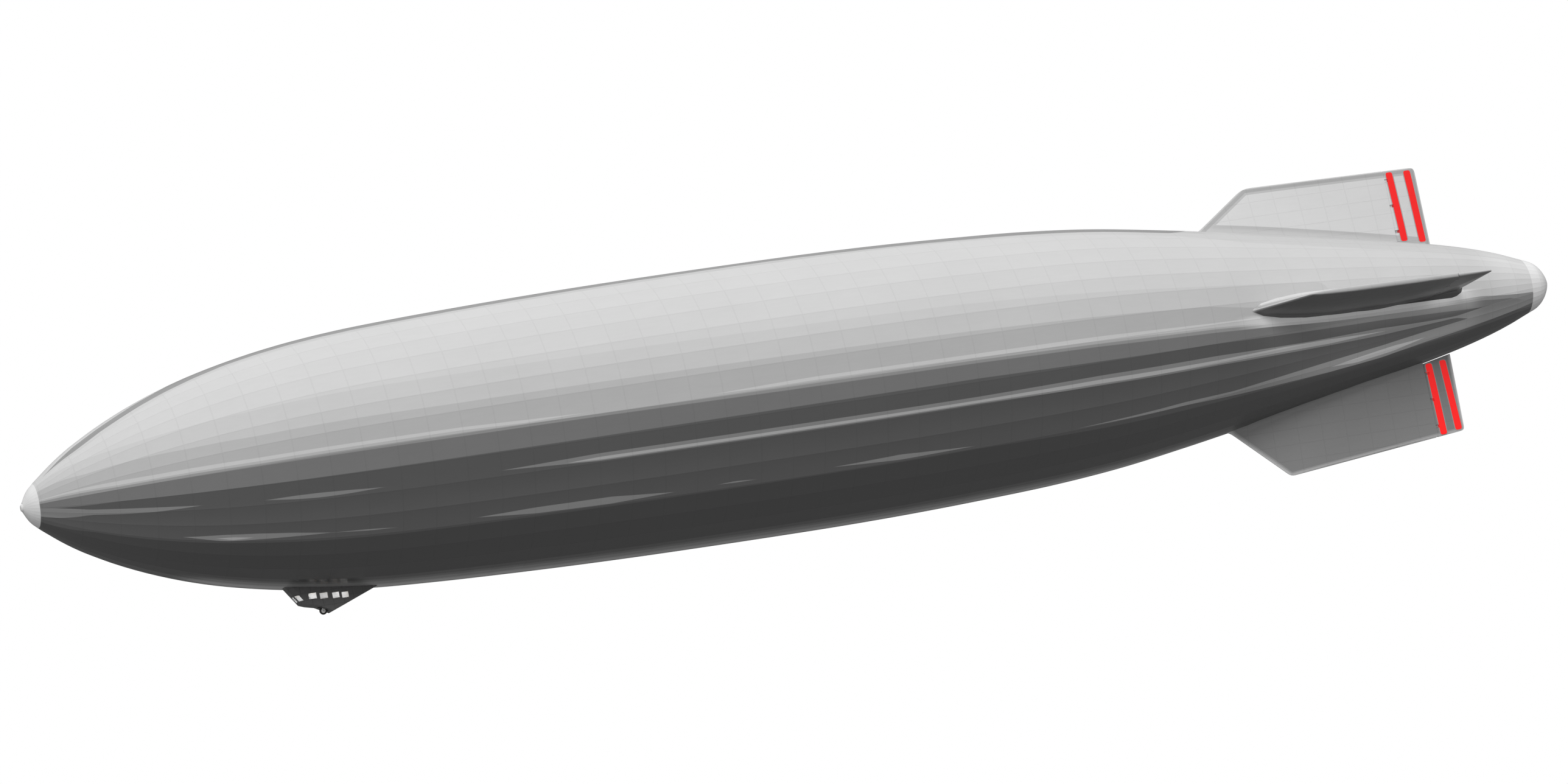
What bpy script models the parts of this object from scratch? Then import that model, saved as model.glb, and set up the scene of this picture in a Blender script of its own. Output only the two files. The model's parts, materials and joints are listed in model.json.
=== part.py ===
"""Rigid airship, a one-tenth scale model built as the real ship is put together.

Metres. The bow points along +X, port is +Y and up is +Z. The origin is on the hull's axis at half
its length. The hull is a 36-sided skin 10 mm thick in two halves between a bow cap and a tail cap.
Four fins carry hinged rudders and elevators, and a glazed control car hangs below the bow.
"""
from math import atan2, cos, hypot, pi, radians, sin

import bmesh
import bpy
from mathutils import Matrix, Vector

# Driving dimensions of the hull
LENGTH = 24.5
HALF_LENGTH = LENGTH / 2
SIDES = 36
SIDE_ANGLE = 2 * pi / SIDES
SKIN = 0.010
SEAT_GAP = 0.0003
BOW_SEAM = 0.035
TAIL_SEAM = 0.985
SEAM_MERIDIAN = radians(-5)
BAYS = 26
CAP_BAYS = 7
SLOPE_REACH = 0.02
SHARP_ANGLE = radians(28)
# How much larger than the hull its cutter is, in seat gaps
CUTTER_MARGIN = 1.2

# Hull profile: share of the length from the bow, radius
PROFILE = (
    (0.000, 0.000),
    (0.004, 0.200),
    (0.012, 0.385),
    (0.030, 0.710),
    (0.060, 1.100),
    (0.100, 1.470),
    (0.150, 1.757),
    (0.200, 1.915),
    (0.270, 2.007),
    (0.350, 2.062),
    (0.430, 2.081),
    (0.520, 2.075),
    (0.600, 2.016),
    (0.680, 1.888),
    (0.760, 1.605),
    (0.840, 1.250),
    (0.900, 0.985),
    (0.950, 0.705),
    (0.980, 0.455),
    (0.994, 0.265),
    (1.000, 0.000),
)

# Mooring cone at the bow: its flat nose is where a mast's cup takes hold
CONE_NOSE_RADIUS = 0.040
CONE_NECK_RADIUS = 0.070
CONE_NECK_LENGTH = 0.030
CONE_SPIGOT = 0.110

# Tail surfaces: hinge axis, thickness at the hinge and running clearances
HINGE_X = -9.920
FIN_FOOT = 0.700
FIN_TOP_REFERENCE = 2.100
LEADING_EDGE_HALF = 0.014
FIN_HALF_AT_FOOT = 0.262
FIN_HALF_AT_TOP = 0.046
AFT_HALF_AT_FOOT = 0.118
AFT_HALF_AT_TOP = 0.041
NOSE_AT_FOOT = 0.110
NOSE_AT_TOP = 0.034
COVE_CLEARANCE = 0.0065
COVE_SIDES = 32
LIP_SHARE = 0.52
TRAILING_HALF_AT_FOOT = 0.045
TRAILING_HALF_AT_TOP = 0.012
ROOT_CLEARANCE = 0.014
NOSE_BENDS = 8

# Section of a fin: share of the chord, share of the rise to full thickness, ahead of the thickest place
# from the leading edge's thickness and behind it from the cove's
FORE_SECTION = ((0.05, 0.40), (0.14, 0.66), (0.27, 0.90), (0.42, 1.0))
AFT_SECTION = ((0.70, 0.78), (1.0, 0.0))

# Rounding of the tips: drop below the tip line, share of the thickness
TIP_RINGS = ((0.070, 1.0), (0.042, 0.97), (0.020, 0.86), (0.006, 0.62), (0.0, 0.30))

# Flare of a fin's foot into the hull: its rings (share of its height above the hull, share of its width),
# and its width by share of the chord
FLARE_RINGS = ((-0.60, 0.76), (0.03, 0.76), (0.10, 0.56), (0.30, 0.29), (0.60, 0.083), (1.0, 0.0))
FLARE_BY_CHORD = ((0.0, 0.35), (0.14, 1.0), (0.70, 1.0), (1.0, 0.15))
FLARE_SEARCH = 12

# Hinge lugs and rods
ROD_RADIUS = 0.009
ROD_SIDES = 12
BORE_CLEARANCE = 0.0005
LUG_HALF_WIDTH = 0.020
LUG_HALF_HEIGHT = 0.018
LUG_AFT = 0.022
NOTCH_AFT = 0.036
NOTCH_SIDE_CLEARANCE = 0.006
NOTCH_REACH = 0.200
LUG_SHARES = (0.14, 0.50, 0.86)

# Tail surfaces: name, moving surface, turn about the hull's axis, leading edge at the hull (x, radius),
# leading tip (x, radius), trailing tip (x, radius), trailing root x, set-back of the rounding at the
# leading tip and at the trailing tip, height of the flare at the foot
TAIL = (
    ("upper", "rudder", 0, (-6.744, 1.619), (-7.549, 2.156), (-10.435, 2.113), -10.430, 0.130, 0.080, 0.100),
    ("lower", "rudder", 180, (-6.604, 1.655), (-7.388, 2.392), (-10.370, 2.089), -10.375, 0.070, 0.060, 0.080),
    ("port", "elevator", -90, (-6.730, 1.570), (-7.390, 2.330), (-10.470, 2.085), -10.360, 0.050, 0.040, 0.045),
    ("starboard", "elevator", 90, (-6.730, 1.570), (-7.390, 2.330), (-10.470, 2.085), -10.360, 0.050, 0.040, 0.045),
)

# Control car: plan with upright sides, raked front panels and a tapered after end
CAR_TOP = -1.600
CAR_HALF = 0.142
CAR_FRONT_HALF = 0.080
CAR_CORNER = 0.087
CAR_TAPER_X = 7.760
CAR_BACK_X = 7.050
CAR_BACK_HALF = 0.036
RAKE_FOOT = (8.405, -2.030)
RAKE = 0.67
CAR_WALL = 0.008
# Underside of the car from the front to the hull behind it: x, z
CAR_KEEL = ((8.600, -1.984), (8.160, -2.090), (7.950, -2.200), (7.066, -1.874))
KEEL_REACH = 1.0
CAVITY_BOTTOM = -2.056
FLOOR_TOP = -2.050
FLOOR_EDGE_GAP = 0.0006
FLOOR_BACK_X = 7.765
FLOOR_FRONT_X = 8.245
WINDOW_HEIGHT = 0.084
# Side windows of the car: x of the centre, z of the centre, width
SIDE_WINDOWS = (
    (8.213, -1.945, 0.118),
    (8.045, -1.964, 0.118),
    (7.864, -1.982, 0.104),
    (7.721, -1.997, 0.104),
)
# Corner and front windows: z of the centre, width
CORNER_WINDOW = (-1.948, 0.076)
FRONT_WINDOW = (-1.948, 0.108)
# How far the window cutters reach to either side of their wall
SIDE_REACH = 0.300
CORNER_REACH = 0.060
FRONT_REACH = 0.080
GLASS = 0.003
GLASS_TOP = -1.898
GLASS_BOTTOM = -2.0215
GLASS_BOTTOM_AFT = -2.0450
GLASS_BACK_X = 7.655

# Hatch from the hull down into the car: x of the centre, length, width
HATCH = (7.860, 0.130, 0.100)
HATCH_DEPTH = 0.080

# Landing wheel under the car
WHEEL_X = 8.060
WHEEL_Z = -2.168
TYRE_RADIUS = 0.060
TYRE_HALF_WIDTH = 0.020
TYRE_TREAD_HALF = 0.012
TYRE_SHOULDER = 0.009
HUB_RADIUS = 0.034
HUB_HALF_WIDTH = 0.022
HUB_DISC_HALF = 0.011
HUB_BOSS = 0.015
HUB_CONE = 0.020
AXLE_RADIUS = 0.007
FORK_INNER = 0.028
FORK_PLATE = 0.006
FORK_LENGTH = 0.080
FORK_EYE = 0.014
WELL_ROOF = 0.004
WELL_LENGTH = 0.150
WHEEL_SIDES = 24

# What stands in the car: helm places and facing, chart table place and size, ladder
HELMS = (
    ("rudder_helm", (8.210, 0.000), 0.0),
    ("elevator_helm", (8.090, 0.085), pi / 2),
)
HELM_HEIGHT = 0.085
HELM_POST = 0.006
HELM_REACH = 0.016
HELM_SHAFT = 0.0036
HELM_RADIUS = 0.038
HELM_RIM = 0.005
HELM_RIM_HALF = 0.003
HELM_SIDES = 24
HELM_SPOKE = 0.0016
HELM_SPOKE_FROM = 0.0042
HELM_SPOKES = 6
# Helm's hub: radius, half length; its foot: radius, height
HELM_HUB = (0.0070, 0.004)
HELM_FOOT = (0.020, 0.004)
CHART_TABLE = (8.010, -0.085, 0.120, 0.070, 0.080)
TABLE_LEG = 0.006
LADDER_OFFSET = -0.020
LADDER_WIDTH = 0.050
LADDER_BAR = 0.003
LADDER_STEP = 0.030
RUNG_HALF = 0.0024
LADDER_TOP = -1.800

EPS = 0.02


def clear_scene():
    """Remove whatever the file holds."""
    for item in list(bpy.data.objects):
        bpy.data.objects.remove(item, do_unlink=True)


def new_collection(name, hidden):
    """Make a collection in the scene."""
    collection = bpy.data.collections.new(name)
    bpy.context.scene.collection.children.link(collection)
    collection.hide_render = hidden
    return collection


def new_material(name, colour, roughness, metallic):
    """A Principled material with one colour."""
    material = bpy.data.materials.new(name)
    material.use_nodes = True
    shader = material.node_tree.nodes["Principled BSDF"]
    shader.inputs["Base Color"].default_value = (*colour, 1.0)
    shader.inputs["Roughness"].default_value = roughness
    shader.inputs["Metallic"].default_value = metallic
    return material


def mesh_object(name, bm, material, closed=True):
    """Turn a bmesh into one named object of the airship, or a cutter where it has no material."""
    if closed:
        bmesh.ops.recalc_face_normals(bm, faces=bm.faces)
    mesh = bpy.data.meshes.new(name)
    bm.to_mesh(mesh)
    bm.free()
    item = bpy.data.objects.new(name, mesh)
    if material is None:
        CUTTERS.objects.link(item)
        item.hide_render = True
        item.display_type = "WIRE"
    else:
        AIRSHIP.objects.link(item)
        mesh.materials.append(material)
        mesh.set_sharp_from_angle(angle=SHARP_ANGLE)
    return item


def boolean(item, tool, operation):
    """Cut one object with another, or join them."""
    modifier = item.modifiers.new(tool.name, "BOOLEAN")
    modifier.operation = operation
    modifier.solver = "EXACT"
    modifier.object = tool


def loft(bm, rings):
    """Close a body through rings that have the same number of corners."""
    loops = [[bm.verts.new(point) for point in ring] for ring in rings]
    count = len(loops[0])
    for lower, upper in zip(loops, loops[1:]):
        for i in range(count):
            j = (i + 1) % count
            bm.faces.new((lower[i], lower[j], upper[j], upper[i]))
    bm.faces.new(loops[0])
    bm.faces.new(loops[-1])


def lofted(name, rings, material):
    """A closed object lofted through rings."""
    bm = bmesh.new()
    loft(bm, rings)
    bmesh.ops.triangulate(bm, faces=bm.faces)
    return mesh_object(name, bm, material)


def box(name, low, high, material, turn=None):
    """A box between two corners."""
    bm = bmesh.new()
    bmesh.ops.create_cube(bm, size=1.0)
    low, high = Vector(low), Vector(high)
    bmesh.ops.scale(bm, vec=high - low, verts=bm.verts)
    bmesh.ops.translate(bm, vec=(low + high) / 2, verts=bm.verts)
    if turn is not None:
        bmesh.ops.transform(bm, matrix=turn, verts=bm.verts)
    return mesh_object(name, bm, material)


def rod(name, start, end, radius, material, sides=ROD_SIDES, end_radius=None):
    """A round bar, or a cone, between two points."""
    start, end = Vector(start), Vector(end)
    along = end - start
    bm = bmesh.new()
    bmesh.ops.create_cone(
        bm,
        cap_ends=True,
        segments=sides,
        radius1=radius,
        radius2=radius if end_radius is None else end_radius,
        depth=along.length,
    )
    turn = along.to_track_quat("Z", "Y").to_matrix().to_4x4()
    place = Matrix.Translation((start + end) / 2) @ turn
    bmesh.ops.transform(bm, matrix=place, verts=bm.verts)
    return mesh_object(name, bm, material)


def turned(name, profile, material, sides, start=0.0):
    """A body of revolution about the hull's axis from points (x, radius) that form a closed outline."""
    bm = bmesh.new()
    ring = [bm.verts.new((x, r * cos(start), r * sin(start))) for x, r in profile]
    radii = [r for x, r in profile]
    off_axis = [r0 > 0 or r1 > 0 for r0, r1 in zip(radii, radii[1:] + radii[:1])]
    pairs = zip(ring, ring[1:] + ring[:1], off_axis)
    edges = [bm.edges.new((a, b)) for a, b, wanted in pairs if wanted]
    bmesh.ops.spin(
        bm,
        geom=ring + edges,
        cent=(0, 0, 0),
        axis=(1, 0, 0),
        angle=2 * pi,
        steps=sides,
        use_merge=True,
        use_duplicate=False,
    )
    bmesh.ops.remove_doubles(bm, verts=bm.verts, dist=1e-6)
    bmesh.ops.dissolve_degenerate(bm, edges=bm.edges, dist=1e-6)
    return mesh_object(name, bm, material)


def hull_radius(x):
    """Radius of the hull's corners at a place along it, by a smooth curve through PROFILE."""
    share = min(max((HALF_LENGTH - x) / LENGTH, 0.0), 1.0)
    last = len(PROFILE) - 1
    i = max(k for k in range(last) if PROFILE[k][0] <= share)
    s0, r0 = PROFILE[i]
    s1, r1 = PROFILE[i + 1]
    step = s1 - s0
    slope = (r1 - r0) / step
    before = (r0 - PROFILE[i - 1][1]) / (s0 - PROFILE[i - 1][0]) if i > 0 else 2 * slope
    after = (PROFILE[i + 2][1] - r1) / (PROFILE[i + 2][0] - s1) if i + 2 <= last else 2 * slope
    m0, m1 = (before + slope) / 2, (slope + after) / 2
    t = (share - s0) / step
    start = (2 * t**3 - 3 * t**2 + 1) * r0 + (t**3 - 2 * t**2 + t) * step * m0
    return start + (3 * t**2 - 2 * t**3) * r1 + (t**3 - t**2) * step * m1


def inner_radius(x):
    """Radius of the inside of the skin, one skin thickness in along the normal."""
    slope = (hull_radius(x + SLOPE_REACH) - hull_radius(x - SLOPE_REACH)) / (2 * SLOPE_REACH)
    return hull_radius(x) - SKIN * hypot(1.0, slope) / cos(SIDE_ANGLE / 2)


def stations(front, back, count):
    """Places of the rings between two x values, closer together towards the ends."""
    shares = [i / count for i in range(count + 1)]
    eased = [0.5 * t + 0.25 * (1 - cos(pi * t)) for t in shares]
    return [front + (back - front) * t for t in eased]


def x_at(share):
    """Place of a share of the length from the bow."""
    return HALF_LENGTH - share * LENGTH


def envelope_half(name, start, sides, drop, material):
    """Part of the skin, spun about the hull's axis from one meridian."""
    bm = bmesh.new()
    places = stations(x_at(BOW_SEAM) - SEAT_GAP, x_at(TAIL_SEAM) + SEAT_GAP, BAYS)
    rows = []
    for x in places:
        row = [
            bm.verts.new((x, r * cos(start), r * sin(start)))
            for r in (hull_radius(x), inner_radius(x))
        ]
        rows.append(row)
    faces = [bm.faces.new((a[0], b[0], b[1], a[1])) for a, b in zip(rows, rows[1:])]
    bmesh.ops.spin(
        bm,
        geom=faces,
        cent=(0, 0, 0),
        axis=(1, 0, 0),
        angle=sides * SIDE_ANGLE,
        steps=sides,
        use_duplicate=False,
    )
    bmesh.ops.translate(bm, vec=(0, 0, -drop), verts=bm.verts)
    return mesh_object(name, bm, material)


def build_hull():
    """The two halves of the skin with a cap at each end and the mooring cone."""
    upper_sides = SIDES // 2 + 1
    envelope_half("envelope_upper", SEAM_MERIDIAN, upper_sides, 0.0, SILVER)
    lower = envelope_half(
        "envelope_lower", pi - SEAM_MERIDIAN, SIDES - upper_sides, SEAT_GAP, DARK_GREY
    )
    x, length, width = HATCH
    hatch = box(
        "hatch_cutter",
        (x - length / 2, -width / 2, -hull_radius(x) - EPS),
        (x + length / 2, width / 2, -inner_radius(x) + HATCH_DEPTH),
        None,
    )
    boolean(lower, hatch, "DIFFERENCE")

    cone_x = HALF_LENGTH - CONE_NECK_LENGTH
    seam = x_at(BOW_SEAM)
    neck = (CONE_NECK_RADIUS + SEAT_GAP) / cos(SIDE_ANGLE / 2)
    outer = [(x, hull_radius(x)) for x in stations(seam, cone_x, CAP_BAYS)]
    inner = [(x, inner_radius(x)) for x in stations(cone_x - SKIN * 2, seam, CAP_BAYS)]
    nose = [(cone_x, neck), (cone_x - SKIN * 2, neck)]
    turned("bow_cap", outer + nose + inner[1:], SILVER, SIDES, SEAM_MERIDIAN)

    cone = [
        (HALF_LENGTH, 0.0),
        (HALF_LENGTH, CONE_NOSE_RADIUS),
        (cone_x, CONE_NECK_RADIUS),
        (cone_x - CONE_SPIGOT, CONE_NECK_RADIUS),
        (cone_x - CONE_SPIGOT, 0.0),
    ]
    turned("mooring_cone", cone, STEEL, SIDES, SEAM_MERIDIAN)

    seam = x_at(TAIL_SEAM)
    places = stations(seam, -HALF_LENGTH, CAP_BAYS)
    outer = [(x, hull_radius(x)) for x in places]
    inner = [(x, inner_radius(x)) for x in reversed(places[:-2])]
    turned("tail_cap", outer + [(-HALF_LENGTH + SKIN, 0.0)] + inner, SILVER, SIDES, SEAM_MERIDIAN)


def hull_cutter(name, front, back):
    """The outside of the hull as a closed body, one seat gap larger."""
    grow = SEAT_GAP * CUTTER_MARGIN / cos(SIDE_ANGLE / 2)
    places = stations(x_at(BOW_SEAM) - SEAT_GAP, x_at(TAIL_SEAM) + SEAT_GAP, BAYS)
    inside = [x for x in places if back < x < front]
    rim = [(x, hull_radius(x) + grow) for x in inside]
    profile = [(rim[0][0], 0.0)] + rim + [(rim[-1][0], 0.0)]
    return turned(name, profile, None, SIDES, SEAM_MERIDIAN)


def between(foot_value, top_value, height):
    """A value that changes evenly from the fin's foot to its reference top."""
    share = (height - FIN_FOOT) / (FIN_TOP_REFERENCE - FIN_FOOT)
    return foot_value + (top_value - foot_value) * share


def line_at(first, second, value):
    """The first coordinate where a line through two (a, b) points reaches a value of b."""
    share = (value - first[1]) / (second[1] - first[1])
    return first[0] + (second[0] - first[0]) * share


def radius_on_line(first, second, x):
    """The radius where a line through two (x, radius) points passes an x."""
    share = (x - first[0]) / (second[0] - first[0])
    return first[1] + (second[1] - first[1]) * share


def rounded_corner(before, corner, after, set_back, count):
    """Points along a rounding of a corner between two straight sides, from one side to the other."""
    before, corner, after = Vector(before), Vector(corner), Vector(after)
    first = corner + (before - corner).normalized() * set_back
    last = corner + (after - corner).normalized() * set_back
    shares = [k / (count - 1) for k in range(count)]
    return [first * (1 - t) ** 2 + corner * 2 * t * (1 - t) + last * t**2 for t in shares]


def by_share(rows, share):
    """A value that runs in straight lines between (share, value) rows."""
    for (place, value), (next_place, next_value) in zip(rows, rows[1:]):
        if share <= next_place:
            return value + (next_value - value) * (share - place) / (next_place - place)
    return rows[-1][1]


def fin_section(lead_x, aft_x, full_half, aft_half, scale=1.0, flare=0.0):
    """Outline of a fin's section (x, y) from its leading edge round both sides to its cove."""
    edge = LEADING_EDGE_HALF * scale
    nose = edge + flare * FLARE_BY_CHORD[0][1]
    side = [(lead_x - edge + nose * cos(a), nose * sin(a)) for a in (pi / 4, pi / 2)]
    for rows, low_half in ((FORE_SECTION, LEADING_EDGE_HALF), (AFT_SECTION, aft_half)):
        for share, rise in rows:
            half = (low_half + rise * (full_half - low_half)) * scale
            side.append((lead_x + (aft_x - lead_x) * share, half + flare * by_share(FLARE_BY_CHORD, share)))
    return [(lead_x - edge + nose, 0.0)] + side + [(x, -half) for x, half in reversed(side)]


def fin_ring(lead, aft, full_half, aft_half, scale):
    """Corners of a fin's section along a straight line from its leading edge to its cove."""
    section = fin_section(lead[0], aft[0], full_half, aft_half, scale)
    return [(x, y, radius_on_line(lead, aft, x)) for x, y in section]


def flare_ring(height, width, lead_at, lip_at):
    """Corners of a fin's section at an even height above the hull, spread to meet it."""
    lead_x, aft_x = HINGE_X, HINGE_X
    for _ in range(FLARE_SEARCH):
        lead_x = lead_at(hull_radius(lead_x) + height)
        aft_x = lip_at(hull_radius(aft_x) + height)
    lead_radius, aft_radius = hull_radius(lead_x) + height, hull_radius(aft_x) + height
    ring = []
    section = fin_section(
        lead_x,
        aft_x,
        between(FIN_HALF_AT_FOOT, FIN_HALF_AT_TOP, (lead_radius + aft_radius) / 2),
        between(AFT_HALF_AT_FOOT, AFT_HALF_AT_TOP, aft_radius),
        flare=width,
    )
    for x, y in section:
        ring.append((x, y, (hull_radius(x) ** 2 - y**2) ** 0.5 + height))
    return ring


def surface_ring(hinge_height, trail, nose_at, half_at, scale):
    """Corners of a rudder's section: a round nose about the hinge and a straight taper aft."""
    hinge = (HINGE_X, hinge_height)
    ring = []
    for k in range(NOSE_BENDS + 1):
        angle = pi / 2 - pi * k / NOSE_BENDS
        x = HINGE_X + nose_at(hinge_height) * cos(angle)
        height = radius_on_line(hinge, trail, x)
        radius = nose_at(height) * scale
        ring.append((HINGE_X + radius * cos(angle), radius * sin(angle), height))
    half = half_at(trail[1]) * scale
    ring.append((trail[0], -half, trail[1]))
    ring.append((trail[0], half, trail[1]))
    return ring


def build_tail_surface(
    name,
    kind,
    turn_degrees,
    lead_root,
    lead_tip,
    trail_tip,
    trail_root_x,
    lead_back,
    trail_back,
    flare,
    cutter,
):
    """One fin with its hinge lugs, the rod through them, and the surface that swings on the rod."""
    turn = Matrix.Rotation(radians(turn_degrees), 4, "X")

    def nose(height):
        return between(NOSE_AT_FOOT, NOSE_AT_TOP, height)

    def cove(height):
        return nose(height) + COVE_CLEARANCE

    def tip(x):
        return radius_on_line(lead_tip, trail_tip, x)

    def lead(height):
        return line_at(lead_root, lead_tip, height)

    def lip(height):
        return HINGE_X + LIP_SHARE * cove(height)

    top = tip(HINGE_X)
    rings = [flare_ring(rise * flare, width * flare, lead, lip) for rise, width in FLARE_RINGS]
    lead_points = rounded_corner(lead_root, lead_tip, trail_tip, lead_back, len(TIP_RINGS))
    for point, (drop, scale) in zip(lead_points, TIP_RINGS):
        aft_half = between(AFT_HALF_AT_FOOT, AFT_HALF_AT_TOP, top)
        aft = (lip(top), tip(lip(top)) - drop)
        rings.append(fin_ring(tuple(point), aft, FIN_HALF_AT_TOP, aft_half, scale))
    fin = lofted("fin_" + name, rings, SILVER if name == "upper" else DARK_GREY)
    fin.data.transform(turn)
    boolean(fin, cutter, "DIFFERENCE")

    cove_cutter = rod(
        "cove_cutter_" + name,
        (HINGE_X, 0, FIN_FOOT - EPS),
        (HINGE_X, 0, top + EPS * 2),
        cove(FIN_FOOT - EPS) / cos(pi / COVE_SIDES),
        None,
        COVE_SIDES,
        cove(top + EPS * 2) / cos(pi / COVE_SIDES),
    )
    cove_cutter.data.transform(turn)
    boolean(fin, cove_cutter, "DIFFERENCE")

    front_x = HINGE_X + nose(FIN_FOOT)
    root_front = (front_x, hull_radius(front_x) + ROOT_CLEARANCE)
    root_back = (trail_root_x, hull_radius(trail_root_x) + ROOT_CLEARANCE)

    def root(x):
        return radius_on_line(root_front, root_back, x)

    def trailing_half(height):
        return between(TRAILING_HALF_AT_FOOT, TRAILING_HALF_AT_TOP, height)

    trail_root = (trail_root_x, root(trail_root_x))
    rings = [surface_ring(root(HINGE_X), trail_root, nose, trailing_half, 1.0)]
    trail_points = rounded_corner(trail_root, trail_tip, lead_tip, trail_back, len(TIP_RINGS))
    for point, (drop, scale) in zip(trail_points, TIP_RINGS):
        rings.append(surface_ring(top - drop, tuple(point), nose, trailing_half, scale))
    surface = lofted(kind + "_" + name, rings, SILVER if name == "upper" else DARK_GREY)
    surface.data.transform(turn)

    bore_radius = (ROD_RADIUS + BORE_CLEARANCE) / cos(pi / ROD_SIDES)
    low = root(HINGE_X)
    span = top - low
    rod_top = low + span * LUG_SHARES[-1] + LUG_HALF_HEIGHT * 2
    bore = rod(
        "bore_cutter_" + name,
        (HINGE_X, 0, low - EPS * 2),
        (HINGE_X, 0, rod_top + 2 * BORE_CLEARANCE),
        bore_radius,
        None,
    )
    bore.data.transform(turn)

    for number, share in enumerate(LUG_SHARES):
        height = low + span * share
        notch = box(
            "notch_cutter_%s_%d" % (name, number),
            (HINGE_X - NOTCH_AFT, -NOTCH_REACH, height - LUG_HALF_HEIGHT - NOTCH_SIDE_CLEARANCE),
            (HINGE_X + NOTCH_REACH, NOTCH_REACH, height + LUG_HALF_HEIGHT + NOTCH_SIDE_CLEARANCE),
            None,
        )
        notch.data.transform(turn)
        boolean(surface, notch, "DIFFERENCE")
        lug = box(
            "lug_tool_%s_%d" % (name, number),
            (HINGE_X - LUG_AFT, -LUG_HALF_WIDTH, height - LUG_HALF_HEIGHT),
            (HINGE_X + cove(height) + EPS * 2, LUG_HALF_WIDTH, height + LUG_HALF_HEIGHT),
            None,
        )
        lug.data.transform(turn)
        boolean(fin, lug, "UNION")
    boolean(surface, bore, "DIFFERENCE")
    boolean(fin, bore, "DIFFERENCE")

    post = rod(
        "hinge_rod_" + name, (HINGE_X, 0, low + EPS / 2), (HINGE_X, 0, rod_top), ROD_RADIUS, STEEL
    )
    post.data.transform(turn)


def inset_outline(points, distance):
    """Move every side of a flat outline inwards by a distance."""
    count = len(points)
    lines = []
    for i in range(count):
        a, b = Vector(points[i]), Vector(points[(i + 1) % count])
        along = (b - a).normalized()
        inward = Vector((-along.y, along.x))
        lines.append((a + inward * distance, along))
    corners = []
    for i in range(count):
        p, d = lines[i - 1]
        q, e = lines[i]
        cross = d.x * e.y - d.y * e.x
        t = ((q.x - p.x) * e.y - (q.y - p.y) * e.x) / cross
        corners.append(p + d * t)
    return corners


def car_ring(height, inset):
    """The car's outline at a height, moved inwards; the corners run counterclockwise from above."""
    front = RAKE_FOOT[0] + (height - RAKE_FOOT[1]) * RAKE
    starboard = [
        (CAR_BACK_X, -CAR_BACK_HALF),
        (CAR_TAPER_X, -CAR_HALF),
        (front - CAR_CORNER, -CAR_HALF),
        (front, -CAR_FRONT_HALF),
    ]
    port = [(x, -y) for x, y in reversed(starboard)]
    outline = inset_outline(starboard + port, inset) if inset else starboard + port
    return [(x, y, height) for x, y in outline]


def keel_cutter(name, rise):
    """All that lies under the car's underside, raised by the thickness of the plating."""
    low = CAR_KEEL[-1][1] - KEEL_REACH
    line = [(x, z + rise) for x, z in CAR_KEEL]
    x0, z0 = line[0]
    x1, z1 = line[-1]
    slope = (z1 - line[-2][1]) / (x1 - line[-2][0])
    fore, aft = x0 + KEEL_REACH, x1 - KEEL_REACH
    outline = [(fore, z0), *line, (aft, z1 - slope * KEEL_REACH), (aft, low), (fore, low)]
    sides = [[(x, y, z) for x, z in outline] for y in (-CAR_HALF * 2, CAR_HALF * 2)]
    return lofted(name, sides, None)


def window_cutter(name, centre, width, yaw, reach, rake=0.0):
    """A box that cuts one window through a wall that faces the given way, and leans as the wall does."""
    lean = Matrix.Identity(4)
    lean[0][2] = rake
    place = Matrix.Translation(centre) @ lean @ Matrix.Rotation(yaw, 4, "Z")
    return box(
        name,
        (-width / 2, -reach, -WINDOW_HEIGHT / 2),
        (width / 2, reach, WINDOW_HEIGHT / 2),
        None,
        place,
    )


def build_car(cutter):
    """The hollow control car with its windows, glass, floor and what stands on the floor."""
    lowest = min(z for x, z in CAR_KEEL) - EPS
    shell = lofted("car_shell", [car_ring(z, 0.0) for z in (CAR_TOP, lowest)], DARK_GREY)
    boolean(shell, cutter, "DIFFERENCE")
    boolean(shell, keel_cutter("keel_cutter_outer", 0.0), "DIFFERENCE")
    inside = [car_ring(z, CAR_WALL) for z in (CAR_TOP + EPS, CAVITY_BOTTOM)]
    cavity = lofted("cavity_cutter", inside, None)
    boolean(cavity, keel_cutter("keel_cutter_inner", CAR_WALL), "DIFFERENCE")
    boolean(shell, cavity, "DIFFERENCE")
    well_top = CAVITY_BOTTOM - WELL_ROOF
    well_half = FORK_INNER + FORK_PLATE + SEAT_GAP
    well = box(
        "wheel_well_cutter",
        (WHEEL_X - WELL_LENGTH / 2, -well_half, WHEEL_Z - TYRE_RADIUS * 2),
        (WHEEL_X + WELL_LENGTH / 2, well_half, well_top),
        None,
    )
    boolean(shell, well, "DIFFERENCE")
    for number, (x, z, width) in enumerate(SIDE_WINDOWS):
        tool = window_cutter("side_window_cutter_%d" % number, (x, 0, z), width, 0.0, SIDE_REACH)
        boolean(shell, tool, "DIFFERENCE")
    corner_z, corner_width = CORNER_WINDOW
    ring = car_ring(corner_z, 0.0)
    for side, (a, b) in (("starboard", (2, 3)), ("port", (4, 5))):
        first, second = Vector(ring[a]), Vector(ring[b])
        along = second - first
        yaw = atan2(along.y, along.x)
        middle = (first + second) / 2
        tool = window_cutter(
            "corner_window_cutter_" + side, middle, corner_width, yaw, CORNER_REACH, RAKE
        )
        boolean(shell, tool, "DIFFERENCE")
    front_z, front_width = FRONT_WINDOW
    front = (ring[4][0], 0, front_z)
    tool = window_cutter("front_window_cutter", front, front_width, pi / 2, FRONT_REACH, RAKE)
    boolean(shell, tool, "DIFFERENCE")
    build_glass()


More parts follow.
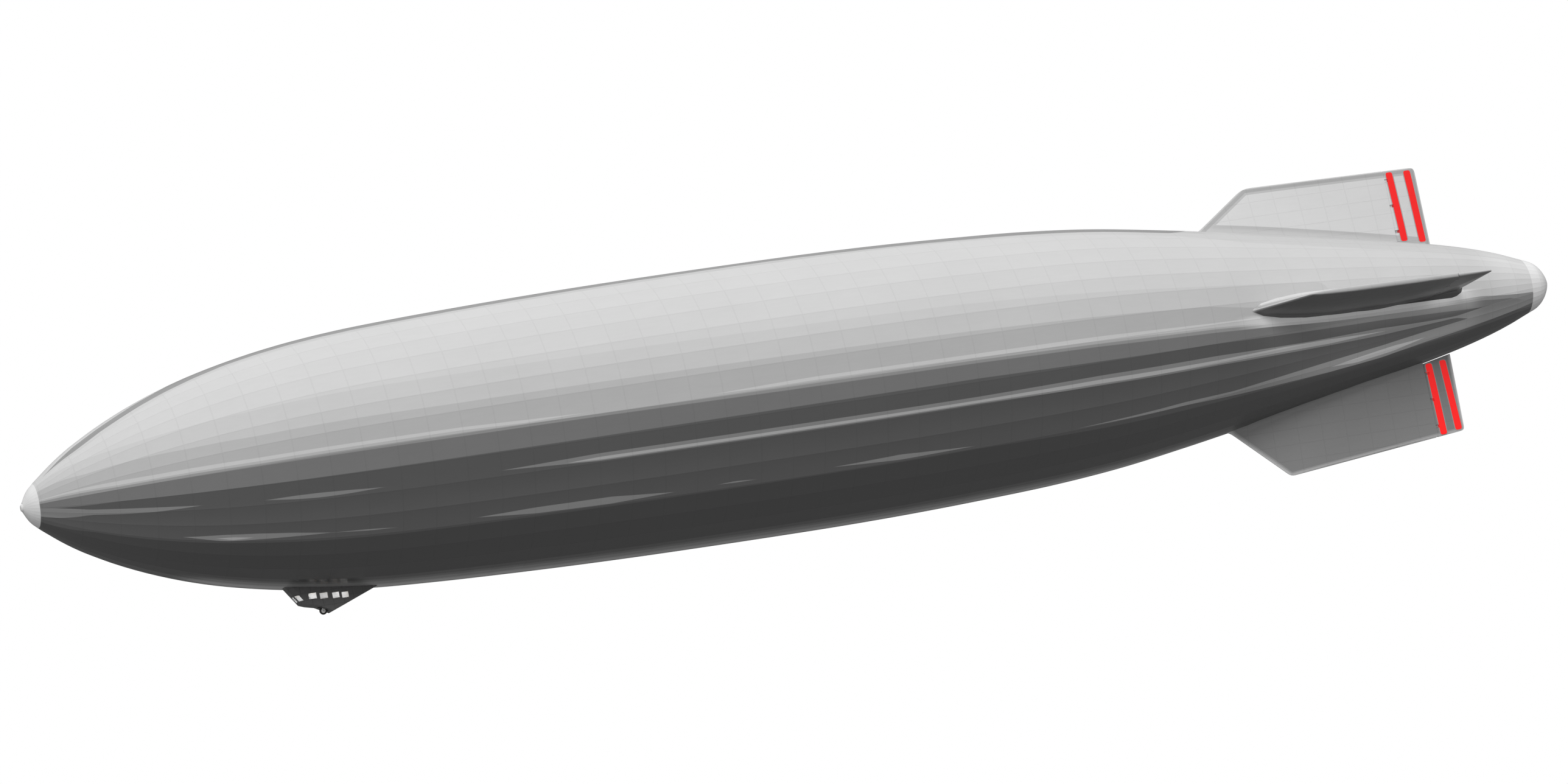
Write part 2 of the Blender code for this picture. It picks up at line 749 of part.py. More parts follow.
def build_glass():
    """One bent pane behind the windows, from the port side round the front to starboard."""
    bm = bmesh.new()
    strips = []
    for height, aft_height in ((GLASS_TOP, GLASS_TOP), (GLASS_BOTTOM, GLASS_BOTTOM_AFT)):
        corners = car_ring(height, CAR_WALL + SEAT_GAP)
        ends = []
        for near, far in ((1, 0), (6, 7)):
            share = (corners[near][0] - GLASS_BACK_X) / (corners[near][0] - corners[far][0])
            y = corners[near][1] + (corners[far][1] - corners[near][1]) * share
            ends.append((GLASS_BACK_X, y, aft_height))
            corners[near] = (*corners[near][:2], aft_height)
        strips.append([bm.verts.new(c) for c in (ends[0], *corners[1:7], ends[1])])
    top, foot = strips
    for i in range(len(top) - 1):
        bm.faces.new((foot[i], foot[i + 1], top[i + 1], top[i]))
    pane = mesh_object("car_glass", bm, GLASS_MATERIAL, closed=False)
    thickness = pane.modifiers.new("thickness", "SOLIDIFY")
    thickness.thickness = GLASS
    thickness.offset = -1
    thickness.use_even_offset = True


def build_cabin():
    """What stands in the control car: floor, helms, chart table and the ladder up to the hatch."""
    half = CAR_HALF - CAR_WALL - FLOOR_EDGE_GAP
    box(
        "car_floor",
        (FLOOR_BACK_X, -half, CAVITY_BOTTOM + SEAT_GAP),
        (FLOOR_FRONT_X, half, FLOOR_TOP),
        WOOD,
    )
    for name, (x, y), facing in HELMS:
        build_helm(name, x, y, facing)
    x, y, length, width, height = CHART_TABLE
    foot = FLOOR_TOP + SEAT_GAP
    leg = TABLE_LEG
    top = box(
        "chart_table",
        (x - length / 2, y - width / 2, foot + height - leg),
        (x + length / 2, y + width / 2, foot + height),
        WOOD,
    )
    pedestal = box(
        "table_pedestal_tool",
        (x - length / 2 + leg, y - width / 2 + leg, foot),
        (x + length / 2 - leg, y + width / 2 - leg, foot + height - leg / 2),
        None,
    )
    boolean(top, pedestal, "UNION")
    build_ladder()


def build_helm(name, x, y, facing):
    """A steering stand: a post on a round foot with a spoked wheel on its shaft."""
    foot = FLOOR_TOP + SEAT_GAP
    centre = Vector((x, y, foot + HELM_HEIGHT))
    turn = Matrix.Rotation(facing, 3, "Z")
    ahead = turn @ Vector((1, 0, 0))
    stand = rod(name, (x, y, foot), centre, HELM_POST, STEEL)
    wheel_at = centre + ahead * HELM_REACH
    foot_radius, foot_height = HELM_FOOT
    hub_radius, hub_half = HELM_HUB
    tools = [
        rod(name + "_foot_tool", (x, y, foot), (x, y, foot + foot_height), foot_radius, None, 16),
        rod(name + "_shaft_tool", centre - ahead * HELM_POST, wheel_at, HELM_SHAFT, None, 8),
        rod(name + "_hub_tool", wheel_at - ahead * hub_half, wheel_at + ahead * hub_half, hub_radius, None),
    ]
    inner = HELM_RADIUS - HELM_RIM
    rim = [
        (-HELM_RIM_HALF, inner),
        (HELM_RIM_HALF, inner),
        (HELM_RIM_HALF, HELM_RADIUS),
        (-HELM_RIM_HALF, HELM_RADIUS),
    ]
    ring = turned(name + "_rim_tool", rim, None, HELM_SIDES)
    ring.data.transform(Matrix.Translation(wheel_at) @ Matrix.Rotation(facing, 4, "Z"))
    tools.append(ring)
    for k in range(HELM_SPOKES):
        angle = 2 * pi * k / HELM_SPOKES
        outwards = turn @ Vector((0, cos(angle), sin(angle)))
        start, end = wheel_at + outwards * HELM_SPOKE_FROM, wheel_at + outwards * (inner + HELM_RIM / 2)
        tools.append(rod("%s_spoke_tool_%d" % (name, k), start, end, HELM_SPOKE, None, 6))
    for tool in tools:
        boolean(stand, tool, "UNION")


def build_ladder():
    """The ladder from the car's floor up through the hatch."""
    foot = FLOOR_TOP + SEAT_GAP
    x = HATCH[0] + LADDER_OFFSET
    low = Vector((x, 0, foot))
    ladder = None
    for side in (-1, 1):
        y = side * LADDER_WIDTH / 2
        rail = box(
            "ladder" if side < 0 else "ladder_rail_tool",
            (x - LADDER_BAR, y - LADDER_BAR, low.z),
            (x + LADDER_BAR, y + LADDER_BAR, LADDER_TOP),
            STEEL if side < 0 else None,
        )
        if side < 0:
            ladder = rail
        else:
            boolean(ladder, rail, "UNION")
    height = low.z + LADDER_STEP
    number = 0
    while height < LADDER_TOP:
        rung = box(
            "ladder_rung_tool_%d" % number,
            (x - RUNG_HALF, -LADDER_WIDTH / 2, height - RUNG_HALF),
            (x + RUNG_HALF, LADDER_WIDTH / 2, height + RUNG_HALF),
            None,
        )
        boolean(ladder, rung, "UNION")
        height += LADDER_STEP
        number += 1


def turned_wheel(name, profile, material, sides):
    """A body of revolution about the landing wheel's axle from points (y, radius)."""
    item = turned(name, profile, material, sides, pi / sides)
    place = Matrix.Translation((WHEEL_X, 0, WHEEL_Z)) @ Matrix.Rotation(pi / 2, 4, "Z")
    item.data.transform(place)
    return item


def build_landing_wheel():
    """The wheel that takes the car's touch on the ground, its axle and the fork that carries it."""
    axle_half = FORK_INNER + FORK_PLATE
    bore = (AXLE_RADIUS + BORE_CLEARANCE) / cos(pi / WHEEL_SIDES)
    rim = (HUB_RADIUS + SEAT_GAP) / cos(pi / WHEEL_SIDES)
    shoulder = TYRE_RADIUS - TYRE_SHOULDER
    tyre = [
        (-TYRE_HALF_WIDTH, rim),
        (TYRE_HALF_WIDTH, rim),
        (TYRE_HALF_WIDTH, shoulder),
        (TYRE_TREAD_HALF, TYRE_RADIUS),
        (-TYRE_TREAD_HALF, TYRE_RADIUS),
        (-TYRE_HALF_WIDTH, shoulder),
    ]
    turned_wheel("landing_tyre", tyre, RUBBER, WHEEL_SIDES)
    hub = [
        (-HUB_HALF_WIDTH, bore),
        (HUB_HALF_WIDTH, bore),
        (HUB_HALF_WIDTH, HUB_BOSS),
        (HUB_DISC_HALF, HUB_CONE),
        (HUB_DISC_HALF, HUB_RADIUS),
        (-HUB_DISC_HALF, HUB_RADIUS),
        (-HUB_DISC_HALF, HUB_CONE),
        (-HUB_HALF_WIDTH, HUB_BOSS),
    ]
    turned_wheel("landing_hub", hub, STEEL, WHEEL_SIDES)
    rod("landing_axle", (WHEEL_X, -axle_half, WHEEL_Z), (WHEEL_X, axle_half, WHEEL_Z), AXLE_RADIUS, STEEL)

    seat = CAVITY_BOTTOM - WELL_ROOF - SEAT_GAP
    fork = box(
        "wheel_fork",
        (WHEEL_X - FORK_LENGTH / 2, -axle_half, seat - FORK_PLATE),
        (WHEEL_X + FORK_LENGTH / 2, axle_half, seat),
        STEEL,
    )
    for side in (-1, 1):
        y0, y1 = sorted((side * FORK_INNER, side * axle_half))
        leg = box(
            "fork_leg_tool_%d" % (side + 1),
            (WHEEL_X - FORK_LENGTH / 4, y0, WHEEL_Z - FORK_EYE),
            (WHEEL_X + FORK_LENGTH / 4, y1, seat - FORK_PLATE / 2),
            None,
        )
        boolean(fork, leg, "UNION")
    seat_bore = (AXLE_RADIUS + SEAT_GAP) / cos(pi / ROD_SIDES)
    eye = rod(
        "fork_eye_cutter",
        (WHEEL_X, -axle_half - EPS, WHEEL_Z),
        (WHEEL_X, axle_half + EPS, WHEEL_Z),
        seat_bore,
        None,
    )
    boolean(fork, eye, "DIFFERENCE")


def main():
    hull_tool = hull_cutter("hull_cutter_aft", -4.0, -11.5)
    car_tool = hull_cutter("hull_cutter_fore", 10.5, 5.0)
    build_hull()
    for row in TAIL:
        build_tail_surface(*row, hull_tool)
    build_car(car_tool)
    build_cabin()
    build_landing_wheel()


clear_scene()
AIRSHIP = new_collection("rigid_airship", False)
CUTTERS = new_collection("cutters", True)
SILVER = new_material("silver_doped_fabric", (0.62, 0.62, 0.62), 0.45, 0.2)
DARK_GREY = new_material("dark_doped_fabric", (0.16, 0.16, 0.16), 0.55, 0.1)
STEEL = new_material("bright_steel", (0.45, 0.45, 0.46), 0.35, 1.0)
GLASS_MATERIAL = new_material("window_glass", (0.75, 0.78, 0.80), 0.08, 0.0)
RUBBER = new_material("black_rubber", (0.03, 0.03, 0.03), 0.8, 0.0)
WOOD = new_material("varnished_wood", (0.30, 0.17, 0.08), 0.5, 0.0)
main()
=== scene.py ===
"""Looks of a rigid airship at one-tenth scale: doped cloth over a 36-sided frame, hinged tail surfaces
with painted stripes, a glazed control car and its landing wheel.

Metres, in the frame of the solids: the bow points along +X, port is +Y and up is +Z.
"""

import json
import math

import bmesh
import bpy
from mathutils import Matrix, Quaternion, Vector

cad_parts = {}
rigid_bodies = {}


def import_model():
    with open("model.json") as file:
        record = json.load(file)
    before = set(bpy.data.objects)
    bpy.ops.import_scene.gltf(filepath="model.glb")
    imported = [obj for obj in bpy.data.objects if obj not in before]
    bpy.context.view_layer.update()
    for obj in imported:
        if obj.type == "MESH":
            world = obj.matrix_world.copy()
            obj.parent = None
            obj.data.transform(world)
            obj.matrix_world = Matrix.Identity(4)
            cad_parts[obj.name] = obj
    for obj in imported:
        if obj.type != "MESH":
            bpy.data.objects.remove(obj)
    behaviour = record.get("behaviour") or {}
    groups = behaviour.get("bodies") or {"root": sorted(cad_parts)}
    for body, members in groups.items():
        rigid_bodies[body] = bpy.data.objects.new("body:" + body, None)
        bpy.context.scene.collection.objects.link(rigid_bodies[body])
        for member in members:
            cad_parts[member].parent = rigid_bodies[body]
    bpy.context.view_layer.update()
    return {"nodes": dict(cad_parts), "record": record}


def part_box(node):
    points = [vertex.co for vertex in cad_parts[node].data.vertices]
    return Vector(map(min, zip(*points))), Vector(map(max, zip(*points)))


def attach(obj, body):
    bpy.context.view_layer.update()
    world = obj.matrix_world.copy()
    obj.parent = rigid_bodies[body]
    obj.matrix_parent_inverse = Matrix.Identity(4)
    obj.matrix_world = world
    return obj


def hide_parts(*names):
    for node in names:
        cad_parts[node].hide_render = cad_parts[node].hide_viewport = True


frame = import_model()
NODES = frame["nodes"]
NODES_BOX = {name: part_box(name) for name in NODES}

# Hull cover: facets between longitudinals, where the light and dark skins meet, ring frames
FACETS = 36
FACET = 360 / FACETS
SEAM_ANGLE = -5.0
RING_SPACING = 0.5
RING_SHOULDER = 0.022
SKIN = 0.010
# Rounding of the ridges in percent of a facet, and how far the cloth sags as a share of its radius
RIDGE_SHARE = 7
SAG = 0.0012
# Nearer a ridge than this many degrees is on it; nearer the axis than this radius is the tip
RIDGE_NEAR = 1.0
TIP_RADIUS = 0.02
# Rings in each cap, and how they crowd towards the bow and the tail
CAP_RINGS = 14
BOW_CROWDING, TAIL_CROWDING = 1.5, 1.6

# Edges of the painted bands on the hull: place along it, degrees above the horizontal on either side
# The crown, shoulder and flank bands step the light paint darker towards its foot, and the rim band
# darkens it along the top: painted shade
CROWN_TOP = ((11.9, 60), (11.4, 70), (10.5, 74), (10.0, 80), (9.6, 90))
CROWN_INNER = (
    (11.9, 60), (11.4, 57), (11.0, 61), (10.0, 67), (9.0, 71), (6.0, 69), (1.0, 70), (-4.0, 66),
    (-6.0, 64), (-6.8, 90),
)
CROWN_OUTER = (
    (11.9, 58), (11.4, 52), (10.5, 59), (10.0, 63), (9.0, 67), (6.0, 65), (1.0, 65), (-2.0, 64),
    (-4.0, 62), (-6.0, 59), (-7.0, 52), (-10.0, 45), (-12.0, 42),
)
HIGH_BAND = (
    (11.9, 47), (11.4, 36), (11.0, 31), (10.5, 28), (10.0, 26), (9.0, 24), (6.0, 22), (1.0, 20.1),
    (-2.0, 19.6), (-4.0, 18), (-6.0, 16.3), (-8.0, 14.8), (-8.6, -20),
)
MID_BAND = (
    (11.9, 27), (11.4, 18), (11.0, 16), (10.0, 12), (9.0, 10), (6.0, 8.5), (1.0, 7.5), (-2.0, 6.8),
    (-4.0, 6), (-6.0, 4.8), (-6.9, 1), (-7.3, -20),
)
# Light line along the foot of the light paint: rows of place, lower edge, upper edge
LIGHT_LINE = (
    (11.6, 1, 4), (11.0, -1.6, 2), (10.5, -2.2, 0.6), (9.0, -3, -1), (6.0, -3.5, -2), (5.1, -4.4, -2.9),
    (4.0, -3.9, -3.9), (2.3, -4.0, -4.0), (1.3, -4.6, -3.2), (0.6, -4.4, -2.8), (-2.0, -4.8, -3),
    (-4.0, -5.3, -3), (-6.0, -6.6, -4), (-7.0, -8.2, -4), (-7.4, -9, -9),
)
# Top and foot of the line between the light paint and the dark, then the dark bands' edges
PIN_TOP = (
    (11.7, -1), (11.0, -3), (10.0, -3.5), (9.0, -4.2), (6.0, -4.5), (4.0, -5), (1.0, -5.5),
    (-2.0, -5.8), (-4.0, -6.4), (-6.0, -7.4), (-7.0, -9), (-8.0, -11), (-9.0, -12.2), (-10.8, -12.6),
    (-11.4, -18), (-11.8, -22),
)
PIN_FOOT = (
    (11.7, -5), (9.0, -5.4), (6.0, -5.9), (4.0, -6.1), (1.0, -6.8), (-2.0, -7.1), (-4.0, -7.7),
    (-6.0, -9.2), (-7.0, -10.6), (-8.0, -13), (-9.0, -14.6), (-10.8, -17.5), (-11.4, -23), (-11.8, -40),
)
# The low band and the bilge step the dark paint darker towards the bottom: painted shade
LOW_BAND = (
    (11.7, -17), (11.0, -15), (4.0, -14.3), (-2.0, -13.6), (-6.0, -15), (-8.0, -17.3), (-9.0, -18.5),
    (-10.0, -21.5), (-10.8, -25.5), (-11.5, -46),
)
BILGE = (
    (11.7, -51), (11.4, -47), (9.0, -46.3), (-2.0, -45.3), (-4.0, -47), (-8.0, -50), (-10.0, -49),
    (-11.5, -52), (-12.0, -66),
)
# Light streaks in the dark paint, painted highlights along two ridges: rows of place, lower edge, upper
# edge, with none where the edges meet
GLINT_STREAKS = (
    (
        (11.9, -36, -17), (11.4, -27, -21), (10.5, -25, -21.8), (9.85, -22.5, -22.5),
        (9.05, -22.7, -22.7), (8.55, -23.9, -21.9), (8.2, -24.2, -21.8), (7.8, -23.9, -22.1),
        (7.2, -22.9, -22.9), (5.6, -22.6, -22.6), (4.0, -24.5, -21.1), (-2.0, -24.5, -21.2),
        (-4.0, -25.3, -20.6), (-6.0, -26.6, -21.3), (-7.6, -28.6, -23.5), (-8.9, -30.3, -24.4),
        (-9.6, -30.3, -26.6), (-10.3, -30.5, -28.6), (-11.0, -44, -24.5), (-11.6, -46, -24.0),
    ),
    (
        (10.2, -43.1, -43.1), (9.6, -45.3, -41.0), (9.1, -44.2, -40.6), (8.6, -43.2, -41.0),
        (8.05, -42.4, -42.2), (7.5, -43.0, -42.0), (7.0, -42.8, -42.8), (5.95, -42.6, -42.6),
        (5.0, -44.4, -41.3), (3.85, -44.6, -41.1), (2.8, -43.3, -43.3), (2.25, -42.8, -42.8),
        (1.9, -43.2, -42.2), (1.5, -43.1, -43.1), (0.45, -42.7, -42.7), (-0.7, -44.3, -41.6),
        (-2.0, -43.7, -43.7), (-3.4, -44.3, -44.3), (-5.45, -45.0, -42.9), (-6.3, -46.9, -43.7),
        (-7.2, -48.4, -42.2), (-8.05, -49.9, -40.6), (-8.95, -50.6, -38.9), (-9.8, -47.6, -36.2),
        (-10.7, -46, -34),
    ),
)
# Paler cores of the painted highlights
GLINT_CORES = (
    (
        (4.6, -23.4, -23.4), (4.0, -24, -22.6), (-2.0, -24, -22.7), (-4.0, -24.4, -22.4),
        (-6.0, -25.8, -23.6), (-7.2, -26.8, -23.7), (-8.0, -27.9, -24.7), (-9.1, -27.6, -27.6),
    ),
    ((9.75, -43.5, -43.5), (9.46, -44.5, -42.5), (9.15, -43.0, -43.0)),
    ((-8.0, -45.5, -45.5), (-8.5, -48.3, -43.8), (-9.15, -47.2, -42.0), (-9.75, -42.4, -42.4)),
)
# From and to these degrees the painted highlights get their foot tones, and the bilge its own
GLINT_FOOT = (-27, -42)
BILGE_FADE = (-20, -45)
# Pale keel, a painted reflection of light from below: degrees where each step starts, and its share of the
# keel sheen's tone
KEEL_SHEEN_STEPS = ((-79.0, 0.16), (-81.5, 0.40), (-85.0, 0.65), (-88.0, 0.90))
KEEL_SHEEN_FORE, KEEL_SHEEN_AFT = (10.3, 9.4), (-7.2, -4.6)
KEEL_SHEEN_SOFT = 0.8
# Pale nose and tail tips: where they start, and how soft their edge is
NOSE_START, TAIL_START = 12.03, -11.81
TIP_SOFT = 0.004
# The light paint is lighter at the tail, painted light against the shade there: from and to these places,
# by these factors
TAIL_LIFT = (-10.7, -11.5, 1.0, 1.18)
# The dark paint is lighter where the side fins shade it: from and to these places and degrees, and by a
# factor that grows from and to other degrees
FIN_SHADE_FORE, FIN_SHADE_AFT = (-6.4, -8.7), (-10.9, -10.3)
FIN_SHADE_FOOT = (-58, -46)
FIN_SHADE_LIFT = (-30, -16, 0.6, 1.6)
# Pale line on the hull under the side fins' roots, painted light against their shade: from and to these
# places and degrees
ROOT_LINE_FORE, ROOT_LINE_AFT, ROOT_LINE_TOP = (-6.3, -7.3), (-10.9, -10.0), (-2, -4)
# Painted shadow on the hull under the side fins: place along it, lower edge, upper edge
FIN_SHADOW = (
    (-6.68, 0, 0), (-6.95, -2.0, 0), (-7.27, -4.1, 0), (-7.58, -6.3, 0), (-7.87, -8.3, 0),
    (-8.2, -8.6, 0), (-9.1, -8.7, 0), (-10.06, -9.3, 0), (-10.29, -9.7, 0), (-10.41, -6.5, 0),
    (-10.46, -3.5, 0), (-10.48, 0, 0),
)

# Outlines of the tail surfaces (place along the hull, distance from its axis): leading edge at the hull,
# leading tip, trailing tip, trailing edge at the hull
UPPER_PLAN = ((-6.744, 1.619), (-7.549, 2.156), (-10.435, 2.113), (-10.430, 0.9))
LOWER_PLAN = ((-6.604, 1.655), (-7.388, 2.392), (-10.370, 2.089), (-10.375, 0.9))
SIDE_PLAN = ((-6.730, 1.570), (-7.390, 2.330), (-10.470, 2.085), (-10.360, 0.9))
# Top of the shaded band along the upper fin's foot
FOOT_BAND = ((-10.26, 1.005), (-7.009, 1.634))
# Red stripes on the rudders: foot, top, half width
UPPER_STRIPES = (((-10.004, 0.970), (-9.996, 2.087), 0.056), ((-10.316, 0.923), (-10.302, 2.080), 0.058))
LOWER_STRIPES = (((-9.966, 0.988), (-10.012, 2.112), 0.056), ((-10.218, 0.964), (-10.276, 2.070), 0.056))
STRIPE_CORNER = 0.035
STRIPE_BORDER = 0.014
STRIPE_RED = (0.80, 0.005, 0.005, 1.0)
# Faint glow on the stripes, painted light that keeps them bright, most on the lower rudder that the hull
# shades: its colour, its strength on the upper rudder and on the lower one
STRIPE_GLOW = (1.0, 0.01, 0.01, 1.0)
UPPER_GLOW, LOWER_GLOW = 0.18, 0.45
NO_GLOW = (0.0, 0.0, 0.0, 1.0)
# Rims of the fins: how far in each tone reaches from the edge
UPPER_RIM = ((0.110, 0.48), (0.075, 0.38), (0.020, 0.50))
LOWER_RIM = ((0.055, 0.36), (0.035, 0.50), (0.015, 0.66))
SIDE_RIM = ((0.030, 0.26), (0.012, 0.40))
# How soft painted edges are: bands on the hull in degrees; rims, foot band, underside, border and stripe
BAND_SOFT = 0.22
RIM_SOFT, FOOT_SOFT, UNDER_SOFT, BORDER_SOFT, STRIPE_SOFT = 0.004, 0.006, 0.003, 0.003, 0.0015

# Tones of the paint, as reflectance
# Light paint: its steps from crown to flank and the dark rim along the top are painted shade
TONE_RIM = 0.24
TONE_CROWN = 0.56
TONE_SHOULDER = 0.52
TONE_FLANK = 0.44
TONE_LINE = 0.55
TONE_EDGE = 0.29
# Dark paint: darker towards the bottom, as painted shade
TONE_LOW = 0.18
TONE_BILGE = 0.100
TONE_BILGE_FOOT = 0.130
TONE_KEEL = 0.090
# Painted reflection of light from below along the keel
TONE_KEEL_SHEEN = 0.60
# Painted highlights along two ridges, and their paler cores
TONE_GLINT = 0.24
TONE_GLINT_FOOT = 0.32
TONE_GLINT_CORE = 0.43
TONE_GLINT_CORE_FOOT = 0.54
# Painted light along the side fins' roots, against their shade
TONE_ROOT_LIGHT = 0.95
TONE_ROOT_LIGHT_EDGE = 0.82
TONE_NOSE = 0.74
# The tail tip is paler than the nose, painted light against the shade there
TONE_TAIL = 0.80
# Painted shadow under the side fins
TONE_FIN_SHADOW = 0.072
TONE_FIN = 0.64
TONE_FIN_BAND = 0.47
TONE_LOWER_FIN = 0.26
TONE_SIDE_FIN = 0.13
TONE_BORDER = 0.36
TONE_CAR = 0.10
TONE_FLOOR, FLOOR_ROUGHNESS = 0.86, 0.9

# Doped cloth: a noise is its scale, detail and roughness
CLOUDS = (0.9, 4.0, 0.55)
BRUSH, BRUSH_STRETCH, BRUSH_SHARE = (2.0, 3.0, 0.6), (1.2, 9.0, 9.0), 0.8
SPECKS, SPECK_SHARE, SPECK_HEIGHT = (46.0, 2.0, 0.6), 0.35, 0.0004
MOTTLING = 0.07
CLOTH_SPREAD = 0.16
THREAD_PITCH, THREAD_HEIGHT = 0.0022, 0.00006
HULL_ROUGHNESS, FIN_ROUGHNESS = 0.42, 0.45
DOPE_COAT, DOPE_COAT_ROUGHNESS = 0.35, 0.22
# Tapes: outer edge over half width, shade, height; half widths over ring frames (metres) and ridges
# (degrees); spacing and half width of ribs and chords on the tail
TAPE_EDGE = 1.25
TAPE_SHADE, TAPE_HEIGHT = -0.045, 0.0008
RING_TAPE, RIDGE_TAPE = 0.007, 0.22
RIB_TAPES, CHORD_TAPES = (0.40, 0.006), (0.24, 0.005)
# Length of hull that the band tables span
CURVE_LENGTH = 24.5

# Fine wear on metal, paint and rubber
SCRATCHES, SCRATCH_STRETCH, SCRATCH_SHARE = (140.0, 3.0, 0.7), (1.0, 1.0, 14.0), 0.6
SMUDGES = (22.0, 4.0, 0.6)
WEAR_SPREAD, SCRATCH_HEIGHT = 0.35, 0.00004
# Planks: grain, width and half the gap between two, colours, depths, roughness, varnish
GRAIN, GRAIN_STRETCH, GRAIN_RANGE = (2.2, 6.0, 0.65), (5.0, 60.0, 60.0), (0.3, 0.7)
PLANK, PLANK_GAP = 0.028, 0.0006
WOOD_DARK, WOOD_PALE = (0.16, 0.075, 0.03, 1), (0.36, 0.20, 0.09, 1)
WOOD_GAP = (0.03, 0.015, 0.008, 1)
GRAIN_DEPTH, GAP_DEPTH = 0.0001, -0.0006
WOOD_ROUGHNESS, WOOD_SPREAD = 0.25, 0.2
VARNISH, VARNISH_ROUGHNESS = 0.5, 0.15
# Window glass: how much it covers where clean and where smudged, its smudges, roughness and coat
PANE_CLEAN, PANE_SMUDGED = 0.60, 0.72
PANE_SMUDGES, SMUDGE_RANGE = (30.0, 4.0, 0.6), (0.3, 0.8)
PANE_ROUGHNESS, PANE_SPREAD, PANE_COAT = 0.02, 0.16, 0.6
# Whitish tone of the glass: a painted reflection of the sky
PANE_REFLECTION_TONE = (0.93, 0.94, 0.95, 1.0)

# Car: its walls in plan, its keel in profile, the wall's rake, and how deep the pale lining starts
CAR_HALF = 0.142
CAR_TAPER_X = 7.760
CAR_BACK_X = 7.050
CAR_BACK_HALF = 0.036
CAR_TAPER = math.atan2(CAR_HALF - CAR_BACK_HALF, CAR_TAPER_X - CAR_BACK_X)
CAR_FRONT = ((8.318, 0.142), (8.405, 0.080))
CAR_KEEL = ((8.600, -1.984), (8.160, -2.090), (7.950, -2.200), (7.066, -1.874))
RAKE_FOOT = (8.405, -2.030)
RAKE = 0.67
LINING_DEPTH = 0.005
LINING_TONE = (0.74, 0.72, 0.66, 1.0)
# Side windows: place, height of the centre, width
WINDOW_HEIGHT = 0.084
SIDE_WINDOWS = (
    (8.213, -1.945, 0.118), (8.045, -1.964, 0.118), (7.864, -1.982, 0.104), (7.721, -1.997, 0.104),
)
# Windows in raked walls: height of the centre, width, ends of the wall at the height of the rake's foot
SLOPED_WINDOWS = (
    (-1.948, 0.076, (8.318, -0.142), (8.405, -0.080)),
    (-1.948, 0.108, (8.405, -0.080), (8.405, 0.080)),
    (-1.948, 0.076, (8.405, 0.080), (8.318, 0.142)),
)
FRAME_WIDTH = 0.006
FRAME_DEPTH = 0.0025
FRAME_ROUND = 0.0009
PLATING_ROUND = 0.0018
# Cabin lamps: place, power
CABIN_LAMPS = (((8.36, 0.0, -1.905), 0.5), ((8.13, 0.0, -1.885), 1.6), ((7.77, 0.0, -1.905), 1.65))
CABIN_LAMP_SIZE = 0.02

# Landing wheel: tread and bolts
TYRE_SIDES = 20
TREAD_BLOCKS = 30
TREAD_REACH = 0.0035
TREAD_DEPTH = 0.0016
TREAD_MARGIN = 0.0006
HUB_ROUND = 0.0008
HUB_BOLTS = 6
HUB_BOLT_CIRCLE = 0.027
HUB_FACE = 0.0115
BOLT_RADIUS, BOLT_LENGTH, BOLT_ROUND = 0.0019, 0.003, 0.0003

# Plates of the car's skin: spacing of the seams and how far they are shifted, along it and up it
PLATE_LENGTH, PLATE_LENGTH_SHIFT = 0.158, -0.012
PLATE_HEIGHT, PLATE_HEIGHT_SHIFT = 0.110, 0.02
SEAM_HALF, SEAM_SHADE, SEAM_DEPTH = 0.0012, -0.45, -0.0010
PLATING_ROUGHNESS, PLATING_WEAR = 0.42, 0.35
# Rivets beside the seams: pitch, distance from the seam, radii of a head's top and foot, shade, height
RIVET_PITCH, RIVET_OFF = 0.012, 0.006
RIVET_TOP, RIVET_FOOT = 0.0006, 0.0018
RIVET_SHADE, RIVET_HEIGHT = 0.15, 0.0007

# Solids' loose triangles: corners this near are one, faces this flat are one
MERGE_NEAR = 0.00005
FLAT_ANGLE = math.radians(0.6)
# How near the cover's corners are one, and how near a place or a row of corners counts as met
COVER_MERGE = 0.00002
CLOSE = 0.00001
FRAME_NEAR = 0.0005
# A line of rings that bends less than this is straight
STRAIGHT = 1e-9
# Edges sharper than this are rounded
SHARP_ANGLE = math.radians(30)

# Camera: what it aims at, how far off it is, where it stands and how it is tilted
AIM = Vector((0.4016, 0.0, 0.0568))
CAMERA_DISTANCE = 110.0
CAMERA_ROUND = math.radians(18.055)
CAMERA_BELOW = math.radians(8.416)
CAMERA_ROLL = math.radians(-11.117)
LENS = 167.26
SENSOR_WIDTH = 36.0
FAR_CLIP = 5000.0
FLOOR_Z = -16.1
FLOOR_SIZE = 3000.0
# Light from the sky, and what gloss mirrors of it: up to this height, and down to this one
SKY_ABOVE, SKY_LEVEL, SKY_BELOW = 1.0, 0.55, 0.16
SHEEN_LEVEL, SHEEN_ABOVE, SHEEN_BELOW = 0.12, 0.8, 0.2
SHEEN_TOP, SHEEN_FOOT = 0.95, -0.15
# Soft suns: name, towards it (x, y, z), strength, how wide it is in degrees
SUNS = (
    ("port_sun", (0.25, 1.0, 0.75), 1.45, 30),
    ("starboard_sun", (-0.2, -1.0, 0.8), 0.7, 40),
)


# Pieces


def nothing_selected():
    """Object mode, with nothing selected."""
    if bpy.context.mode != "OBJECT":
        bpy.ops.object.mode_set(mode="OBJECT")
    bpy.ops.object.select_all(action="DESELECT")


def choose(*pieces):
    """Object mode, with only these pieces selected and the first one active."""
    nothing_selected()
    for piece in pieces:
        piece.select_set(True)
    bpy.context.view_layer.objects.active = pieces[0]


def open_mesh(piece, action="DESELECT"):
    """Open one piece in edit mode with nothing selected, or with all of it."""
    choose(piece)
    bpy.ops.object.mode_set(mode="EDIT")
    bpy.ops.mesh.select_all(action=action)


